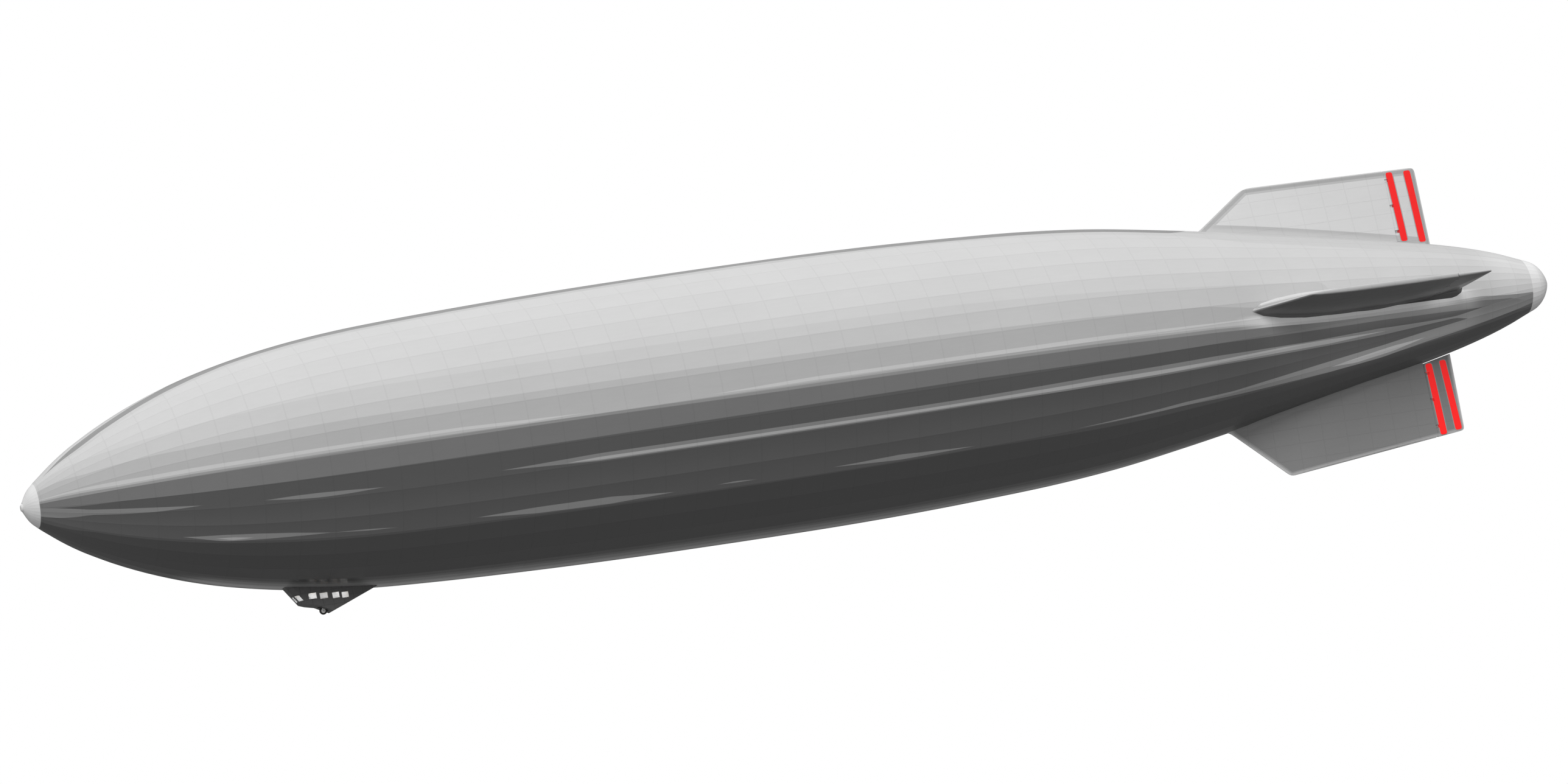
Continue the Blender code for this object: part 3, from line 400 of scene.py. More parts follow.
def pick(piece, kind, wanted):
    """Select the vertices, edges or faces of the open piece that a test wants."""
    bpy.ops.mesh.select_mode(type=kind)
    bpy.ops.mesh.select_all(action="DESELECT")
    bm = bmesh.from_edit_mesh(piece.data)
    for part in {"VERT": bm.verts, "EDGE": bm.edges, "FACE": bm.faces}[kind]:
        if wanted(part):
            part.select_set(True)
    bm.select_flush_mode()
    bmesh.update_edit_mesh(piece.data)


def add(kind, name, **settings):
    """Add a primitive at its size and place, and put its place into its mesh."""
    nothing_selected()
    getattr(bpy.ops.mesh, "primitive_%s_add" % kind)(**settings)
    piece = bpy.context.object
    piece.name = name
    bpy.ops.object.transform_apply(location=True, rotation=True, scale=True)
    return piece


def apply_modifier(piece, kind, **settings):
    """Give a piece a modifier and apply it."""
    choose(piece)
    modifier = piece.modifiers.new(kind.lower(), kind)
    for name, value in settings.items():
        setattr(modifier, name, value)
    bpy.ops.object.modifier_apply(modifier=modifier.name)


def copy_of_node(node, name):
    """A copy of one of the solids with its loose triangles merged into whole faces."""
    piece = NODES[node].copy()
    piece.data = NODES[node].data.copy()
    piece.name = name
    for key in list(piece.keys()):
        del piece[key]
    bpy.context.scene.collection.objects.link(piece)
    piece.parent = None
    piece.hide_render = False
    open_mesh(piece, "SELECT")
    bpy.ops.mesh.remove_doubles(threshold=MERGE_NEAR)
    bpy.ops.mesh.dissolve_limited(angle_limit=FLAT_ANGLE)
    nothing_selected()
    return piece


def soften(piece, width):
    """Round a piece's sharp edges."""
    settings = {"limit_method": "ANGLE", "angle_limit": SHARP_ANGLE, "harden_normals": False}
    apply_modifier(piece, "BEVEL", width=width, segments=2, **settings)


def even_shading(piece):
    """Lean a piece's normals towards its larger faces."""
    apply_modifier(piece, "WEIGHTED_NORMAL", keep_sharp=True, weight=60)


def join(pieces, name):
    """One piece from several."""
    choose(*pieces)
    bpy.ops.object.join()
    piece = bpy.context.object
    piece.name = name
    return piece


def mount(piece, material, body="root", replaces=(), smooth=34):
    """Shade and paint a finished piece, and put it on its body."""
    choose(piece)
    bpy.ops.object.shade_smooth_by_angle(angle=math.radians(smooth))
    piece.data.materials.clear()
    piece.data.materials.append(material)
    nothing_selected()
    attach(piece, body)
    if replaces:
        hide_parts(*replaces)


# Shader building


def plug(tree, value, socket):
    """Link a socket to another, or give it a plain value."""
    if isinstance(value, bpy.types.NodeSocket):
        tree.links.new(value, socket)
    else:
        socket.default_value = value


def maths(tree, operation, *values):
    """One Math node."""
    made = tree.nodes.new("ShaderNodeMath")
    made.operation = operation
    for place, value in enumerate(values):
        plug(tree, value, made.inputs[place])
    return made.outputs[0]


def fold(tree, operation, values):
    """One Math node after another, to take in all of several values."""
    total, *rest = values
    for value in rest:
        total = maths(tree, operation, total, value)
    return total


def ramp(tree, value, low, high, start=0.0, end=1.0):
    """Ease from one value to another while the input goes from low to high."""
    made = tree.nodes.new("ShaderNodeMapRange")
    made.interpolation_type = "SMOOTHSTEP"
    labels = ("Value", "From Min", "From Max", "To Min", "To Max")
    for label, given in zip(labels, (value, low, high, start, end)):
        plug(tree, given, made.inputs[label])
    return made.outputs["Result"]


def fades(tree, *edges):
    """The product of several ramps, each of a value between two limits."""
    return fold(tree, "MULTIPLY", [ramp(tree, value, *limits) for value, limits in edges])


def blend(tree, share, first, second):
    """Mix two numbers by a share."""
    made = tree.nodes.new("ShaderNodeMix")
    made.data_type = "FLOAT"
    for place, value in enumerate((share, first, second)):
        socket = [s for s in made.inputs if s.type == "VALUE" and s.enabled][place]
        plug(tree, value, socket)
    return made.outputs[0]


def tint(tree, share, first, second):
    """Mix two colours by a share."""
    made = tree.nodes.new("ShaderNodeMix")
    made.data_type = "RGBA"
    plug(tree, share, made.inputs[0])
    plug(tree, first, made.inputs[6])
    plug(tree, second, made.inputs[7])
    return made.outputs[2]


def noise(tree, vector, scale, detail, roughness):
    """A noise texture on a vector."""
    made = tree.nodes.new("ShaderNodeTexNoise")
    plug(tree, vector, made.inputs["Vector"])
    made.inputs["Scale"].default_value = scale
    made.inputs["Detail"].default_value = detail
    made.inputs["Roughness"].default_value = roughness
    return made.outputs["Fac"]


def spread(tree, vector, kind):
    """A noise of one kind, about zero."""
    return maths(tree, "SUBTRACT", noise(tree, vector, *kind), 0.5)


def stretched(tree, vector, scale):
    """A vector scaled along its axes."""
    made = tree.nodes.new("ShaderNodeMapping")
    plug(tree, vector, made.inputs["Vector"])
    made.inputs["Scale"].default_value = scale
    return made.outputs["Vector"]


def split(tree, vector):
    """The three numbers of a vector."""
    made = tree.nodes.new("ShaderNodeSeparateXYZ")
    tree.links.new(vector, made.inputs[0])
    return made.outputs


def object_place(tree):
    """Object coordinates."""
    return tree.nodes.new("ShaderNodeTexCoord").outputs["Object"]


def new_group(name, inputs, outputs):
    """A shader node group with named sockets."""
    tree = bpy.data.node_groups.new(name, "ShaderNodeTree")
    for label, kind, value in inputs:
        socket = tree.interface.new_socket(label, in_out="INPUT", socket_type=kind)
        if kind == "NodeSocketFloat":
            socket.default_value = value
    for label in outputs:
        tree.interface.new_socket(label, in_out="OUTPUT", socket_type="NodeSocketFloat")
    return tree, tree.nodes.new("NodeGroupInput").outputs, tree.nodes.new("NodeGroupOutput").inputs


def use(tree, group, **values):
    """Place a shader node group in a material with its own values."""
    made = tree.nodes.new("ShaderNodeGroup")
    made.node_tree = group
    for label, value in values.items():
        plug(tree, value, made.inputs[label.replace("_", " ")])
    return made.outputs


def build_hull_place():
    """Where a point is on the hull: along it, and degrees above the horizontal on either side."""
    tree, given, made = new_group("Hull place", [("Vector", "NodeSocketVector", None)], ["Along", "Angle"])
    x, y, z = split(tree, given["Vector"])
    angle = maths(tree, "DEGREES", maths(tree, "ARCTAN2", z, maths(tree, "ABSOLUTE", y)))
    tree.links.new(x, made["Along"])
    tree.links.new(angle, made["Angle"])
    return tree


def build_tape_lines():
    """Doped tapes at even spacing along a coordinate: 1 on a tape and 0 off it."""
    inputs = [
        ("Coordinate", "NodeSocketFloat", 0.0),
        ("Spacing", "NodeSocketFloat", 0.5),
        ("Half width", "NodeSocketFloat", 0.01),
    ]
    tree, given, made = new_group("Tape lines", inputs, ["Mask"])
    half_spacing = maths(tree, "MULTIPLY", given["Spacing"], 0.5)
    off = maths(tree, "PINGPONG", given["Coordinate"], half_spacing)
    outer = maths(tree, "MULTIPLY", given["Half width"], TAPE_EDGE)
    plug(tree, ramp(tree, off, given["Half width"], outer, 1.0, 0.0), made["Mask"])
    return tree


def build_doped_cloth():
    """Brushed dope over a plain weave: uneven tone, uneven gloss, and the height of the threads."""
    inputs = [
        ("Vector", "NodeSocketVector", None),
        ("Tone", "NodeSocketFloat", 0.5),
        ("Mottling", "NodeSocketFloat", MOTTLING),
        ("Gloss", "NodeSocketFloat", HULL_ROUGHNESS),
    ]
    tree, given, made = new_group("Doped cloth", inputs, ["Tone", "Roughness", "Height"])
    vector = given["Vector"]
    specks = spread(tree, vector, SPECKS)
    uneven = maths(tree, "MULTIPLY_ADD", specks, SPECK_SHARE, spread(tree, vector, CLOUDS))
    brush = spread(tree, stretched(tree, vector, BRUSH_STRETCH), BRUSH)
    uneven = maths(tree, "MULTIPLY_ADD", brush, BRUSH_SHARE, uneven)
    factor = maths(tree, "MULTIPLY_ADD", uneven, given["Mottling"], 1.0)
    plug(tree, maths(tree, "MULTIPLY", given["Tone"], factor), made["Tone"])
    plug(tree, maths(tree, "MULTIPLY_ADD", uneven, CLOTH_SPREAD, given["Gloss"]), made["Roughness"])
    x, y, z = split(tree, vector)
    threads = 2 * math.pi / THREAD_PITCH
    warp = maths(tree, "SINE", maths(tree, "MULTIPLY", x, threads))
    weft = maths(tree, "SINE", maths(tree, "MULTIPLY", maths(tree, "ADD", y, z), threads))
    weave = fold(tree, "MULTIPLY", (warp, weft, THREAD_HEIGHT))
    plug(tree, maths(tree, "MULTIPLY_ADD", specks, SPECK_HEIGHT, weave), made["Height"])
    return tree


HULL_PLACE = build_hull_place()
TAPE_LINES = build_tape_lines()
DOPED_CLOTH = build_doped_cloth()


def tapes(tree, coordinate, spacing, half_width):
    """Where the tapes or seams across a coordinate lie."""
    return use(tree, TAPE_LINES, Coordinate=coordinate, Spacing=spacing, Half_width=half_width)["Mask"]


def new_material(name, roughness, metallic=0.0):
    """A material with its Principled shader."""
    material = bpy.data.materials.new(name)
    material.use_nodes = True
    shader = material.node_tree.nodes["Principled BSDF"]
    shader.inputs["Roughness"].default_value = roughness
    shader.inputs["Metallic"].default_value = metallic
    return material, material.node_tree, shader


def bump(tree, shader, height):
    """Feed a height in metres to the shader's normal."""
    made = tree.nodes.new("ShaderNodeBump")
    made.inputs["Distance"].default_value = 1.0
    tree.links.new(height, made.inputs["Height"])
    tree.links.new(made.outputs["Normal"], shader.inputs["Normal"])


def doped_finish(tree, shader, vector, tone, taped, roughness):
    """Finish painted cloth with tapes over the seams, brushed dope and weave, and give its tone."""
    cloth = use(tree, DOPED_CLOTH, Vector=vector, Tone=tone, Mottling=MOTTLING, Gloss=roughness)
    tree.links.new(cloth["Roughness"], shader.inputs["Roughness"])
    bump(tree, shader, maths(tree, "MULTIPLY_ADD", taped, TAPE_HEIGHT, cloth["Height"]))
    shader.inputs["Coat Weight"].default_value = DOPE_COAT
    shader.inputs["Coat Roughness"].default_value = DOPE_COAT_ROUGHNESS
    return maths(tree, "MULTIPLY", cloth["Tone"], maths(tree, "MULTIPLY_ADD", taped, TAPE_SHADE, 1.0))


def along_curve(tree, along, rows):
    """The angle of a band's edge by place along the hull."""
    made = tree.nodes.new("ShaderNodeFloatCurve")
    curve = made.mapping.curves[0]
    points = sorted((x / CURVE_LENGTH + 0.5, angle / 180 + 0.5) for x, angle in rows)
    for spot, (place, level) in zip(list(curve.points), (points[0], points[-1])):
        spot.location = (place, level)
        spot.handle_type = "VECTOR"
    for place, level in points[1:-1]:
        curve.points.new(place, level).handle_type = "VECTOR"
    made.mapping.update()
    share = maths(tree, "MULTIPLY_ADD", along, 1 / CURVE_LENGTH, 0.5)
    tree.links.new(share, made.inputs["Value"])
    return maths(tree, "MULTIPLY_ADD", made.outputs["Value"], 180.0, -90.0)


def above(tree, place, rows):
    """1 above a band's edge and 0 below it."""
    along, angle = place
    off = maths(tree, "SUBTRACT", angle, along_curve(tree, along, rows))
    return ramp(tree, off, -BAND_SOFT, BAND_SOFT)


def within(tree, place, rows):
    """1 between the two edges of a streak, 0 outside it or where its edges meet."""
    along, angle = place
    foot = along_curve(tree, along, [(x, low) for x, low, high in rows])
    top = along_curve(tree, along, [(x, high) for x, low, high in rows])
    over = ramp(tree, maths(tree, "SUBTRACT", angle, foot), 0.0, BAND_SOFT)
    under = ramp(tree, maths(tree, "SUBTRACT", top, angle), 0.0, BAND_SOFT)
    return maths(tree, "MULTIPLY", over, under)


def light_side(tree, place):
    """Light paint from its foot up, in steps of painted shade: flank, shoulder, crown, rim, the spine at
    the bow, the light line.
    """
    light = TONE_FLANK
    for rows, tone in (
        (MID_BAND, TONE_SHOULDER),
        (HIGH_BAND, TONE_CROWN),
        (CROWN_OUTER, TONE_SHOULDER),
        (CROWN_INNER, TONE_RIM),
        (CROWN_TOP, TONE_CROWN),
    ):
        light = blend(tree, above(tree, place, rows), light, tone)
    light = blend(tree, within(tree, place, LIGHT_LINE), light, TONE_LINE)
    return maths(tree, "MULTIPLY", light, ramp(tree, place[0], *TAIL_LIFT))


def dark_side(tree, place):
    """Dark paint: low band, bilge and bottom in steps of painted shade, painted highlights, painted keel
    reflection; painted light under the side fins.
    """
    along, angle = place
    bilge = ramp(tree, angle, *BILGE_FADE, TONE_BILGE, TONE_BILGE_FOOT)
    dark = blend(tree, above(tree, place, BILGE), TONE_KEEL, bilge)
    dark = blend(tree, above(tree, place, LOW_BAND), dark, TONE_LOW)
    for tables, *tones in ((GLINT_STREAKS, TONE_GLINT, TONE_GLINT_FOOT), (GLINT_CORES, TONE_GLINT_CORE, TONE_GLINT_CORE_FOOT)):
        level = ramp(tree, angle, *GLINT_FOOT, *tones)
        for rows in tables:
            dark = blend(tree, within(tree, place, rows), dark, level)
    length = fades(tree, (along, KEEL_SHEEN_FORE), (along, KEEL_SHEEN_AFT))
    for limit, share in KEEL_SHEEN_STEPS:
        keel = maths(tree, "MULTIPLY", ramp(tree, angle, limit + KEEL_SHEEN_SOFT, limit - KEEL_SHEEN_SOFT), length)
        dark = blend(tree, keel, dark, TONE_KEEL + (TONE_KEEL_SHEEN - TONE_KEEL) * share)
    shade = fades(tree, (along, FIN_SHADE_FORE), (along, FIN_SHADE_AFT), (angle, FIN_SHADE_FOOT))
    lift = maths(tree, "MULTIPLY_ADD", shade, ramp(tree, angle, *FIN_SHADE_LIFT), 1.0)
    return maths(tree, "MULTIPLY", dark, lift)


def hull_tone(tree, place):
    """The hull's paint: light above a swept edge, dark below it, pale at both tips, with a painted shadow
    under the side fins and painted light along their roots.
    """
    along, angle = place
    root = fades(tree, (along, ROOT_LINE_FORE), (along, ROOT_LINE_AFT), (angle, ROOT_LINE_TOP))
    edge = blend(tree, root, TONE_EDGE, TONE_ROOT_LIGHT_EDGE)
    light = blend(tree, root, light_side(tree, place), TONE_ROOT_LIGHT)
    tone = blend(tree, above(tree, place, PIN_FOOT), dark_side(tree, place), edge)
    tone = blend(tree, above(tree, place, PIN_TOP), tone, light)
    tone = blend(tree, within(tree, place, FIN_SHADOW), tone, TONE_FIN_SHADOW)
    tone = blend(tree, ramp(tree, along, NOSE_START - TIP_SOFT, NOSE_START + TIP_SOFT), tone, TONE_NOSE)
    return blend(tree, ramp(tree, along, TAIL_START + TIP_SOFT, TAIL_START - TIP_SOFT), tone, TONE_TAIL)


def hull_dope():
    """The hull's two-tone dope, with tapes over the ring frames and the ridges."""
    material, tree, shader = new_material("hull_dope", 0.5)
    vector = object_place(tree)
    along, angle = use(tree, HULL_PLACE, Vector=vector)
    rings = tapes(tree, along, RING_SPACING, RING_TAPE)
    ridges = tapes(tree, maths(tree, "ADD", angle, FACET / 2), FACET, RIDGE_TAPE)
    taped = maths(tree, "MAXIMUM", rings, ridges)
    colour = doped_finish(tree, shader, vector, hull_tone(tree, (along, angle)), taped, HULL_ROUGHNESS)
    tree.links.new(colour, shader.inputs["Base Color"])
    return material


def inward(tree, along, height, first, second):
    """How far a point lies to the left of the line from one point to another."""
    way = (Vector(second) - Vector(first)).normalized()
    offset = first[0] * way.y - first[1] * way.x
    return maths(tree, "MULTIPLY_ADD", along, -way.y, maths(tree, "MULTIPLY_ADD", height, way.x, offset))


def off_stripe(tree, along, height, foot, top, half_width):
    """How far a point lies outside a stripe with rounded corners."""
    foot, top = Vector(foot), Vector(top)
    way, centre = (top - foot).normalized(), (foot + top) / 2
    overs = []
    for turn, half in (((way.x, way.y), (top - foot).length / 2), ((-way.y, way.x), half_width)):
        shift = -(centre.x * turn[0] + centre.y * turn[1])
        run = maths(tree, "MULTIPLY_ADD", height, turn[1], shift)
        run = maths(tree, "MULTIPLY_ADD", along, turn[0], run)
        over = maths(tree, "SUBTRACT", maths(tree, "ABSOLUTE", run), half - STRIPE_CORNER)
        over = maths(tree, "MAXIMUM", over, 0.0)
        overs.append(maths(tree, "MULTIPLY", over, over))
    return maths(tree, "SUBTRACT", maths(tree, "SQRT", maths(tree, "ADD", *overs)), STRIPE_CORNER)


def rimmed(tree, edge, face, rims):
    """A face's tone with tones along its edge."""
    tone = face
    for reach, level in rims:
        tone = blend(tree, ramp(tree, edge, reach - RIM_SOFT, reach + RIM_SOFT), level, tone)
    return tone


def fin_dope(name, plan, face, rims, foot_band=None, stripes=(), glow=0.0, under=None):
    """Dope for a fin or what swings behind it: rims, a band of painted shade at the foot, stripes with a
    faint painted glow, a dark underside.
    """
    material, tree, shader = new_material(name, 0.5)
    vector = object_place(tree)
    x, y, z = split(tree, vector)
    height = maths(tree, "ABSOLUTE", z if under is None else y)
    edge = fold(tree, "MINIMUM", [inward(tree, x, height, *pair) for pair in zip(plan, plan[1:])])
    inner = face
    if foot_band:
        over = ramp(tree, inward(tree, x, height, *foot_band), -FOOT_SOFT, FOOT_SOFT)
        inner = blend(tree, over, TONE_FIN_BAND, face)
    tone = rimmed(tree, edge, inner, rims)
    if under is not None:
        top = ramp(tree, z, -UNDER_SOFT, UNDER_SOFT)
        tone = blend(tree, top, rimmed(tree, edge, under, SIDE_RIM), tone)
    offs = [off_stripe(tree, x, height, *stripe) for stripe in stripes]
    for off in offs:
        clear = ramp(tree, off, STRIPE_BORDER - BORDER_SOFT, STRIPE_BORDER + BORDER_SOFT)
        tone = blend(tree, clear, TONE_BORDER, tone)
    taped = maths(tree, "MAXIMUM", tapes(tree, x, *RIB_TAPES), tapes(tree, height, *CHORD_TAPES))
    colour = doped_finish(tree, shader, vector, tone, taped, FIN_ROUGHNESS)
    if stripes:
        red = ramp(tree, fold(tree, "MINIMUM", offs), STRIPE_SOFT, -STRIPE_SOFT)
        colour = tint(tree, red, colour, STRIPE_RED)
        # Faint glow on the stripes: painted light
        tree.links.new(tint(tree, red, NO_GLOW, STRIPE_GLOW), shader.inputs["Emission Color"])
        shader.inputs["Emission Strength"].default_value = glow
    tree.links.new(colour, shader.inputs["Base Color"])
    return material


def build_fine_wear():
    """Fine scratches along one way, smudges and their height, for metal, paint and rubber."""
    inputs = [
        ("Vector", "NodeSocketVector", None),
        ("Roughness", "NodeSocketFloat", 0.4),
        ("Wear", "NodeSocketFloat", 0.1),
    ]
    tree, given, made = new_group("Fine wear", inputs, ["Shade", "Roughness", "Height"])
    scratches = spread(tree, stretched(tree, given["Vector"], SCRATCH_STRETCH), SCRATCHES)
    smudges = spread(tree, given["Vector"], SMUDGES)
    both = maths(tree, "MULTIPLY_ADD", scratches, SCRATCH_SHARE, smudges)
    plug(tree, maths(tree, "MULTIPLY_ADD", both, given["Wear"], 1.0), made["Shade"])
    plug(tree, maths(tree, "MULTIPLY_ADD", both, WEAR_SPREAD, given["Roughness"]), made["Roughness"])
    plug(tree, maths(tree, "MULTIPLY", scratches, SCRATCH_HEIGHT), made["Height"])
    return tree


FINE_WEAR = build_fine_wear()


def shaded(tree, factor, colour):
    """A colour times a factor."""
    made = tree.nodes.new("ShaderNodeVectorMath")
    made.operation = "SCALE"
    made.inputs[0].default_value = colour
    tree.links.new(factor, made.inputs["Scale"])
    return made.outputs[0]


def worn(name, colour, roughness, metallic=0.0, wear=0.25, coat=0.0):
    """Metal, paint or rubber with scratches and smudges."""
    material, tree, shader = new_material(name, roughness, metallic)
    marks = use(tree, FINE_WEAR, Vector=object_place(tree), Roughness=roughness, Wear=wear)
    tree.links.new(shaded(tree, marks["Shade"], colour), shader.inputs["Base Color"])
    tree.links.new(marks["Roughness"], shader.inputs["Roughness"])
    bump(tree, shader, marks["Height"])
    shader.inputs["Coat Weight"].default_value = coat
    return material


def rivet_heads(tree, run, across, spacing):
    """Rows of rivet heads on either side of the seams across a coordinate."""
    row = maths(tree, "SUBTRACT", maths(tree, "PINGPONG", across, spacing / 2), RIVET_OFF)
    step = maths(tree, "PINGPONG", run, RIVET_PITCH / 2)
    square = maths(tree, "ADD", maths(tree, "MULTIPLY", row, row), maths(tree, "MULTIPLY", step, step))
    return ramp(tree, maths(tree, "SQRT", square), RIVET_TOP, RIVET_FOOT, 1.0, 0.0)


def depth_in_car(tree, x, y, z):
    """How far inside the car's walls and keel a point lies."""
    upright = maths(tree, "MULTIPLY_ADD", maths(tree, "SUBTRACT", z, RAKE_FOOT[1]), -RAKE, x)
    half = maths(tree, "ABSOLUTE", y)
    taper = (CAR_TAPER_X, CAR_HALF)
    shoulder, corner = CAR_FRONT
    raked = (((corner[0], 0.0), corner), (corner, shoulder), (shoulder, taper))
    depths = [inward(tree, x, half, taper, (CAR_BACK_X, CAR_BACK_HALF))]
    depths += [inward(tree, upright, half, *pair) for pair in raked]
    depths += [inward(tree, x, z, *pair) for pair in zip(CAR_KEEL[1:], CAR_KEEL)]
    return fold(tree, "MINIMUM", depths)


def panelled_paint():
    """Dark paint on the car's plating, with seams and rows of rivets beside them, and a pale lining."""
    material, tree, shader = new_material("car_plating", 0.45)
    vector = object_place(tree)
    x, y, z = split(tree, vector)
    marks = use(tree, FINE_WEAR, Vector=vector, Roughness=PLATING_ROUGHNESS, Wear=PLATING_WEAR)
    seams, rivets = [], []
    for run, across, shift, spacing in (
        (x, z, PLATE_HEIGHT_SHIFT, PLATE_HEIGHT),
        (z, x, PLATE_LENGTH_SHIFT, PLATE_LENGTH),
    ):
        shifted = maths(tree, "ADD", across, shift)
        seams.append(tapes(tree, shifted, spacing, SEAM_HALF))
        rivets.append(rivet_heads(tree, run, shifted, spacing))
    seams, rivets = fold(tree, "MAXIMUM", seams), fold(tree, "MAXIMUM", rivets)
    shade = maths(tree, "MULTIPLY_ADD", rivets, RIVET_SHADE, marks["Shade"])
    outside = shaded(tree, maths(tree, "MULTIPLY_ADD", seams, SEAM_SHADE, shade), (TONE_CAR,) * 3)
    lining = maths(tree, "GREATER_THAN", depth_in_car(tree, x, y, z), LINING_DEPTH)
    tree.links.new(tint(tree, lining, outside, LINING_TONE), shader.inputs["Base Color"])
    tree.links.new(marks["Roughness"], shader.inputs["Roughness"])
    height = maths(tree, "MULTIPLY_ADD", seams, SEAM_DEPTH, marks["Height"])
    bump(tree, shader, maths(tree, "MULTIPLY_ADD", rivets, RIVET_HEIGHT, height))
    return material


def varnished_wood():
    """Planks with long grain under varnish."""
    material, tree, shader = new_material("varnished_wood", 0.35)
    vector = object_place(tree)
    grain = noise(tree, stretched(tree, vector, GRAIN_STRETCH), *GRAIN)
    gaps = tapes(tree, split(tree, vector)["Y"], PLANK, PLANK_GAP)
    colour = tint(tree, ramp(tree, grain, *GRAIN_RANGE), WOOD_DARK, WOOD_PALE)
    tree.links.new(tint(tree, gaps, colour, WOOD_GAP), shader.inputs["Base Color"])
    rough = maths(tree, "MULTIPLY_ADD", grain, WOOD_SPREAD, WOOD_ROUGHNESS)
    tree.links.new(rough, shader.inputs["Roughness"])
    depth = maths(tree, "MULTIPLY", grain, GRAIN_DEPTH)
    bump(tree, shader, maths(tree, "MULTIPLY_ADD", gaps, GAP_DEPTH, depth))
    shader.inputs["Coat Weight"].default_value = VARNISH
    shader.inputs["Coat Roughness"].default_value = VARNISH_ROUGHNESS
    return material


def pane():
    """Window glass, partly covered with white as a painted reflection of the sky, with smudges."""
    material, tree, shader = new_material("window_pane", 0.08)
    smudge = noise(tree, object_place(tree), *PANE_SMUDGES)
    rough = maths(tree, "MULTIPLY_ADD", smudge, PANE_SPREAD, PANE_ROUGHNESS)
    tree.links.new(rough, shader.inputs["Roughness"])
    cover = ramp(tree, smudge, *SMUDGE_RANGE, PANE_CLEAN, PANE_SMUDGED)
    tree.links.new(cover, shader.inputs["Alpha"])
    shader.inputs["Base Color"].default_value = PANE_REFLECTION_TONE
    shader.inputs["Coat Weight"].default_value = PANE_COAT
    return material


# Hull cover


def corner_rings():
    """Where the hull has rings of corners, from the bow aft, with the corner radius of each."""
    rings = {}
    for node in ("bow_cap", "envelope_upper", "tail_cap"):
        found = {}
        for vertex in NODES[node].data.vertices:
            x, y, z = vertex.co
            found[round(x, 4)] = max(found.get(round(x, 4), 0.0), math.hypot(y, z))
        outer = []
        for point in sorted(found.items()):
            while len(outer) > 1 and not turns_down(outer[-2], outer[-1], point):
                outer.pop()
            outer.append(point)
        rings.update(outer)
    return sorted(rings.items(), reverse=True)


def turns_down(first, second, third):
    """Whether the line through three (x, radius) points bends towards the axis."""
    rise = (second[1] - first[1]) * (third[0] - second[0])
    return rise >= (third[1] - second[1]) * (second[0] - first[0]) - STRAIGHT


RINGS = corner_rings()


def corner_radius(x):
    """Radius of the hull's corners at a place along it, by a smooth curve through the rings."""
    last = len(RINGS) - 1
    i = min(max([k for k in range(last) if RINGS[k][0] >= x], default=0), last - 1)

    def slope(k):
        k = min(max(k, 0), last - 1)
        return (RINGS[k + 1][1] - RINGS[k][1]) / (RINGS[k + 1][0] - RINGS[k][0])

    (x0, r0), (x1, r1) = RINGS[i], RINGS[i + 1]
    length = x1 - x0
    m0, m1 = (slope(i - 1) + slope(i)) / 2, (slope(i) + slope(i + 1)) / 2
    t = (x - x0) / length
    start = (2 * t**3 - 3 * t**2 + 1) * r0 + (t**3 - 2 * t**2 + t) * length * m0
    return start + (3 * t**2 - 2 * t**3) * r1 + (t**3 - t**2) * length * m1


def hull_places():
    """Places of the cover's rings from the bow aft, and which of them lie where cloth sags."""
    bow, fore_seam = NODES_BOX["bow_cap"][1].x, NODES_BOX["envelope_upper"][1].x
    aft_seam, tail = NODES_BOX["envelope_upper"][0].x, NODES_BOX["tail_cap"][0].x
    shares = [k / CAP_RINGS for k in range(CAP_RINGS)]
    places = [(bow + (fore_seam - bow) * share**BOW_CROWDING, False) for share in shares]
    first = math.floor(fore_seam / RING_SPACING) * RING_SPACING
    count = int((first - aft_seam) / RING_SPACING)
    rings = [fore_seam] + [first - RING_SPACING * k for k in range(count + 1)] + [aft_seam]
    for near, far in zip(rings, rings[1:]):
        bay = near - far
        places += [(near, False), (near - RING_SHOULDER, False)]
        places += [(near - bay / 3, True), (near - bay * 2 / 3, True), (far + RING_SHOULDER, False)]
    for share in shares:
        places.append((aft_seam + (tail - aft_seam) * (1 - (1 - share)**TAIL_CROWDING), False))
    return places


def off_ridge(point):
    """Degrees round the hull from a point to the nearest ridge between two facets."""
    off = (math.degrees(math.atan2(point.z, point.y)) - FACET / 2) % FACET
    return min(off, FACET - off)


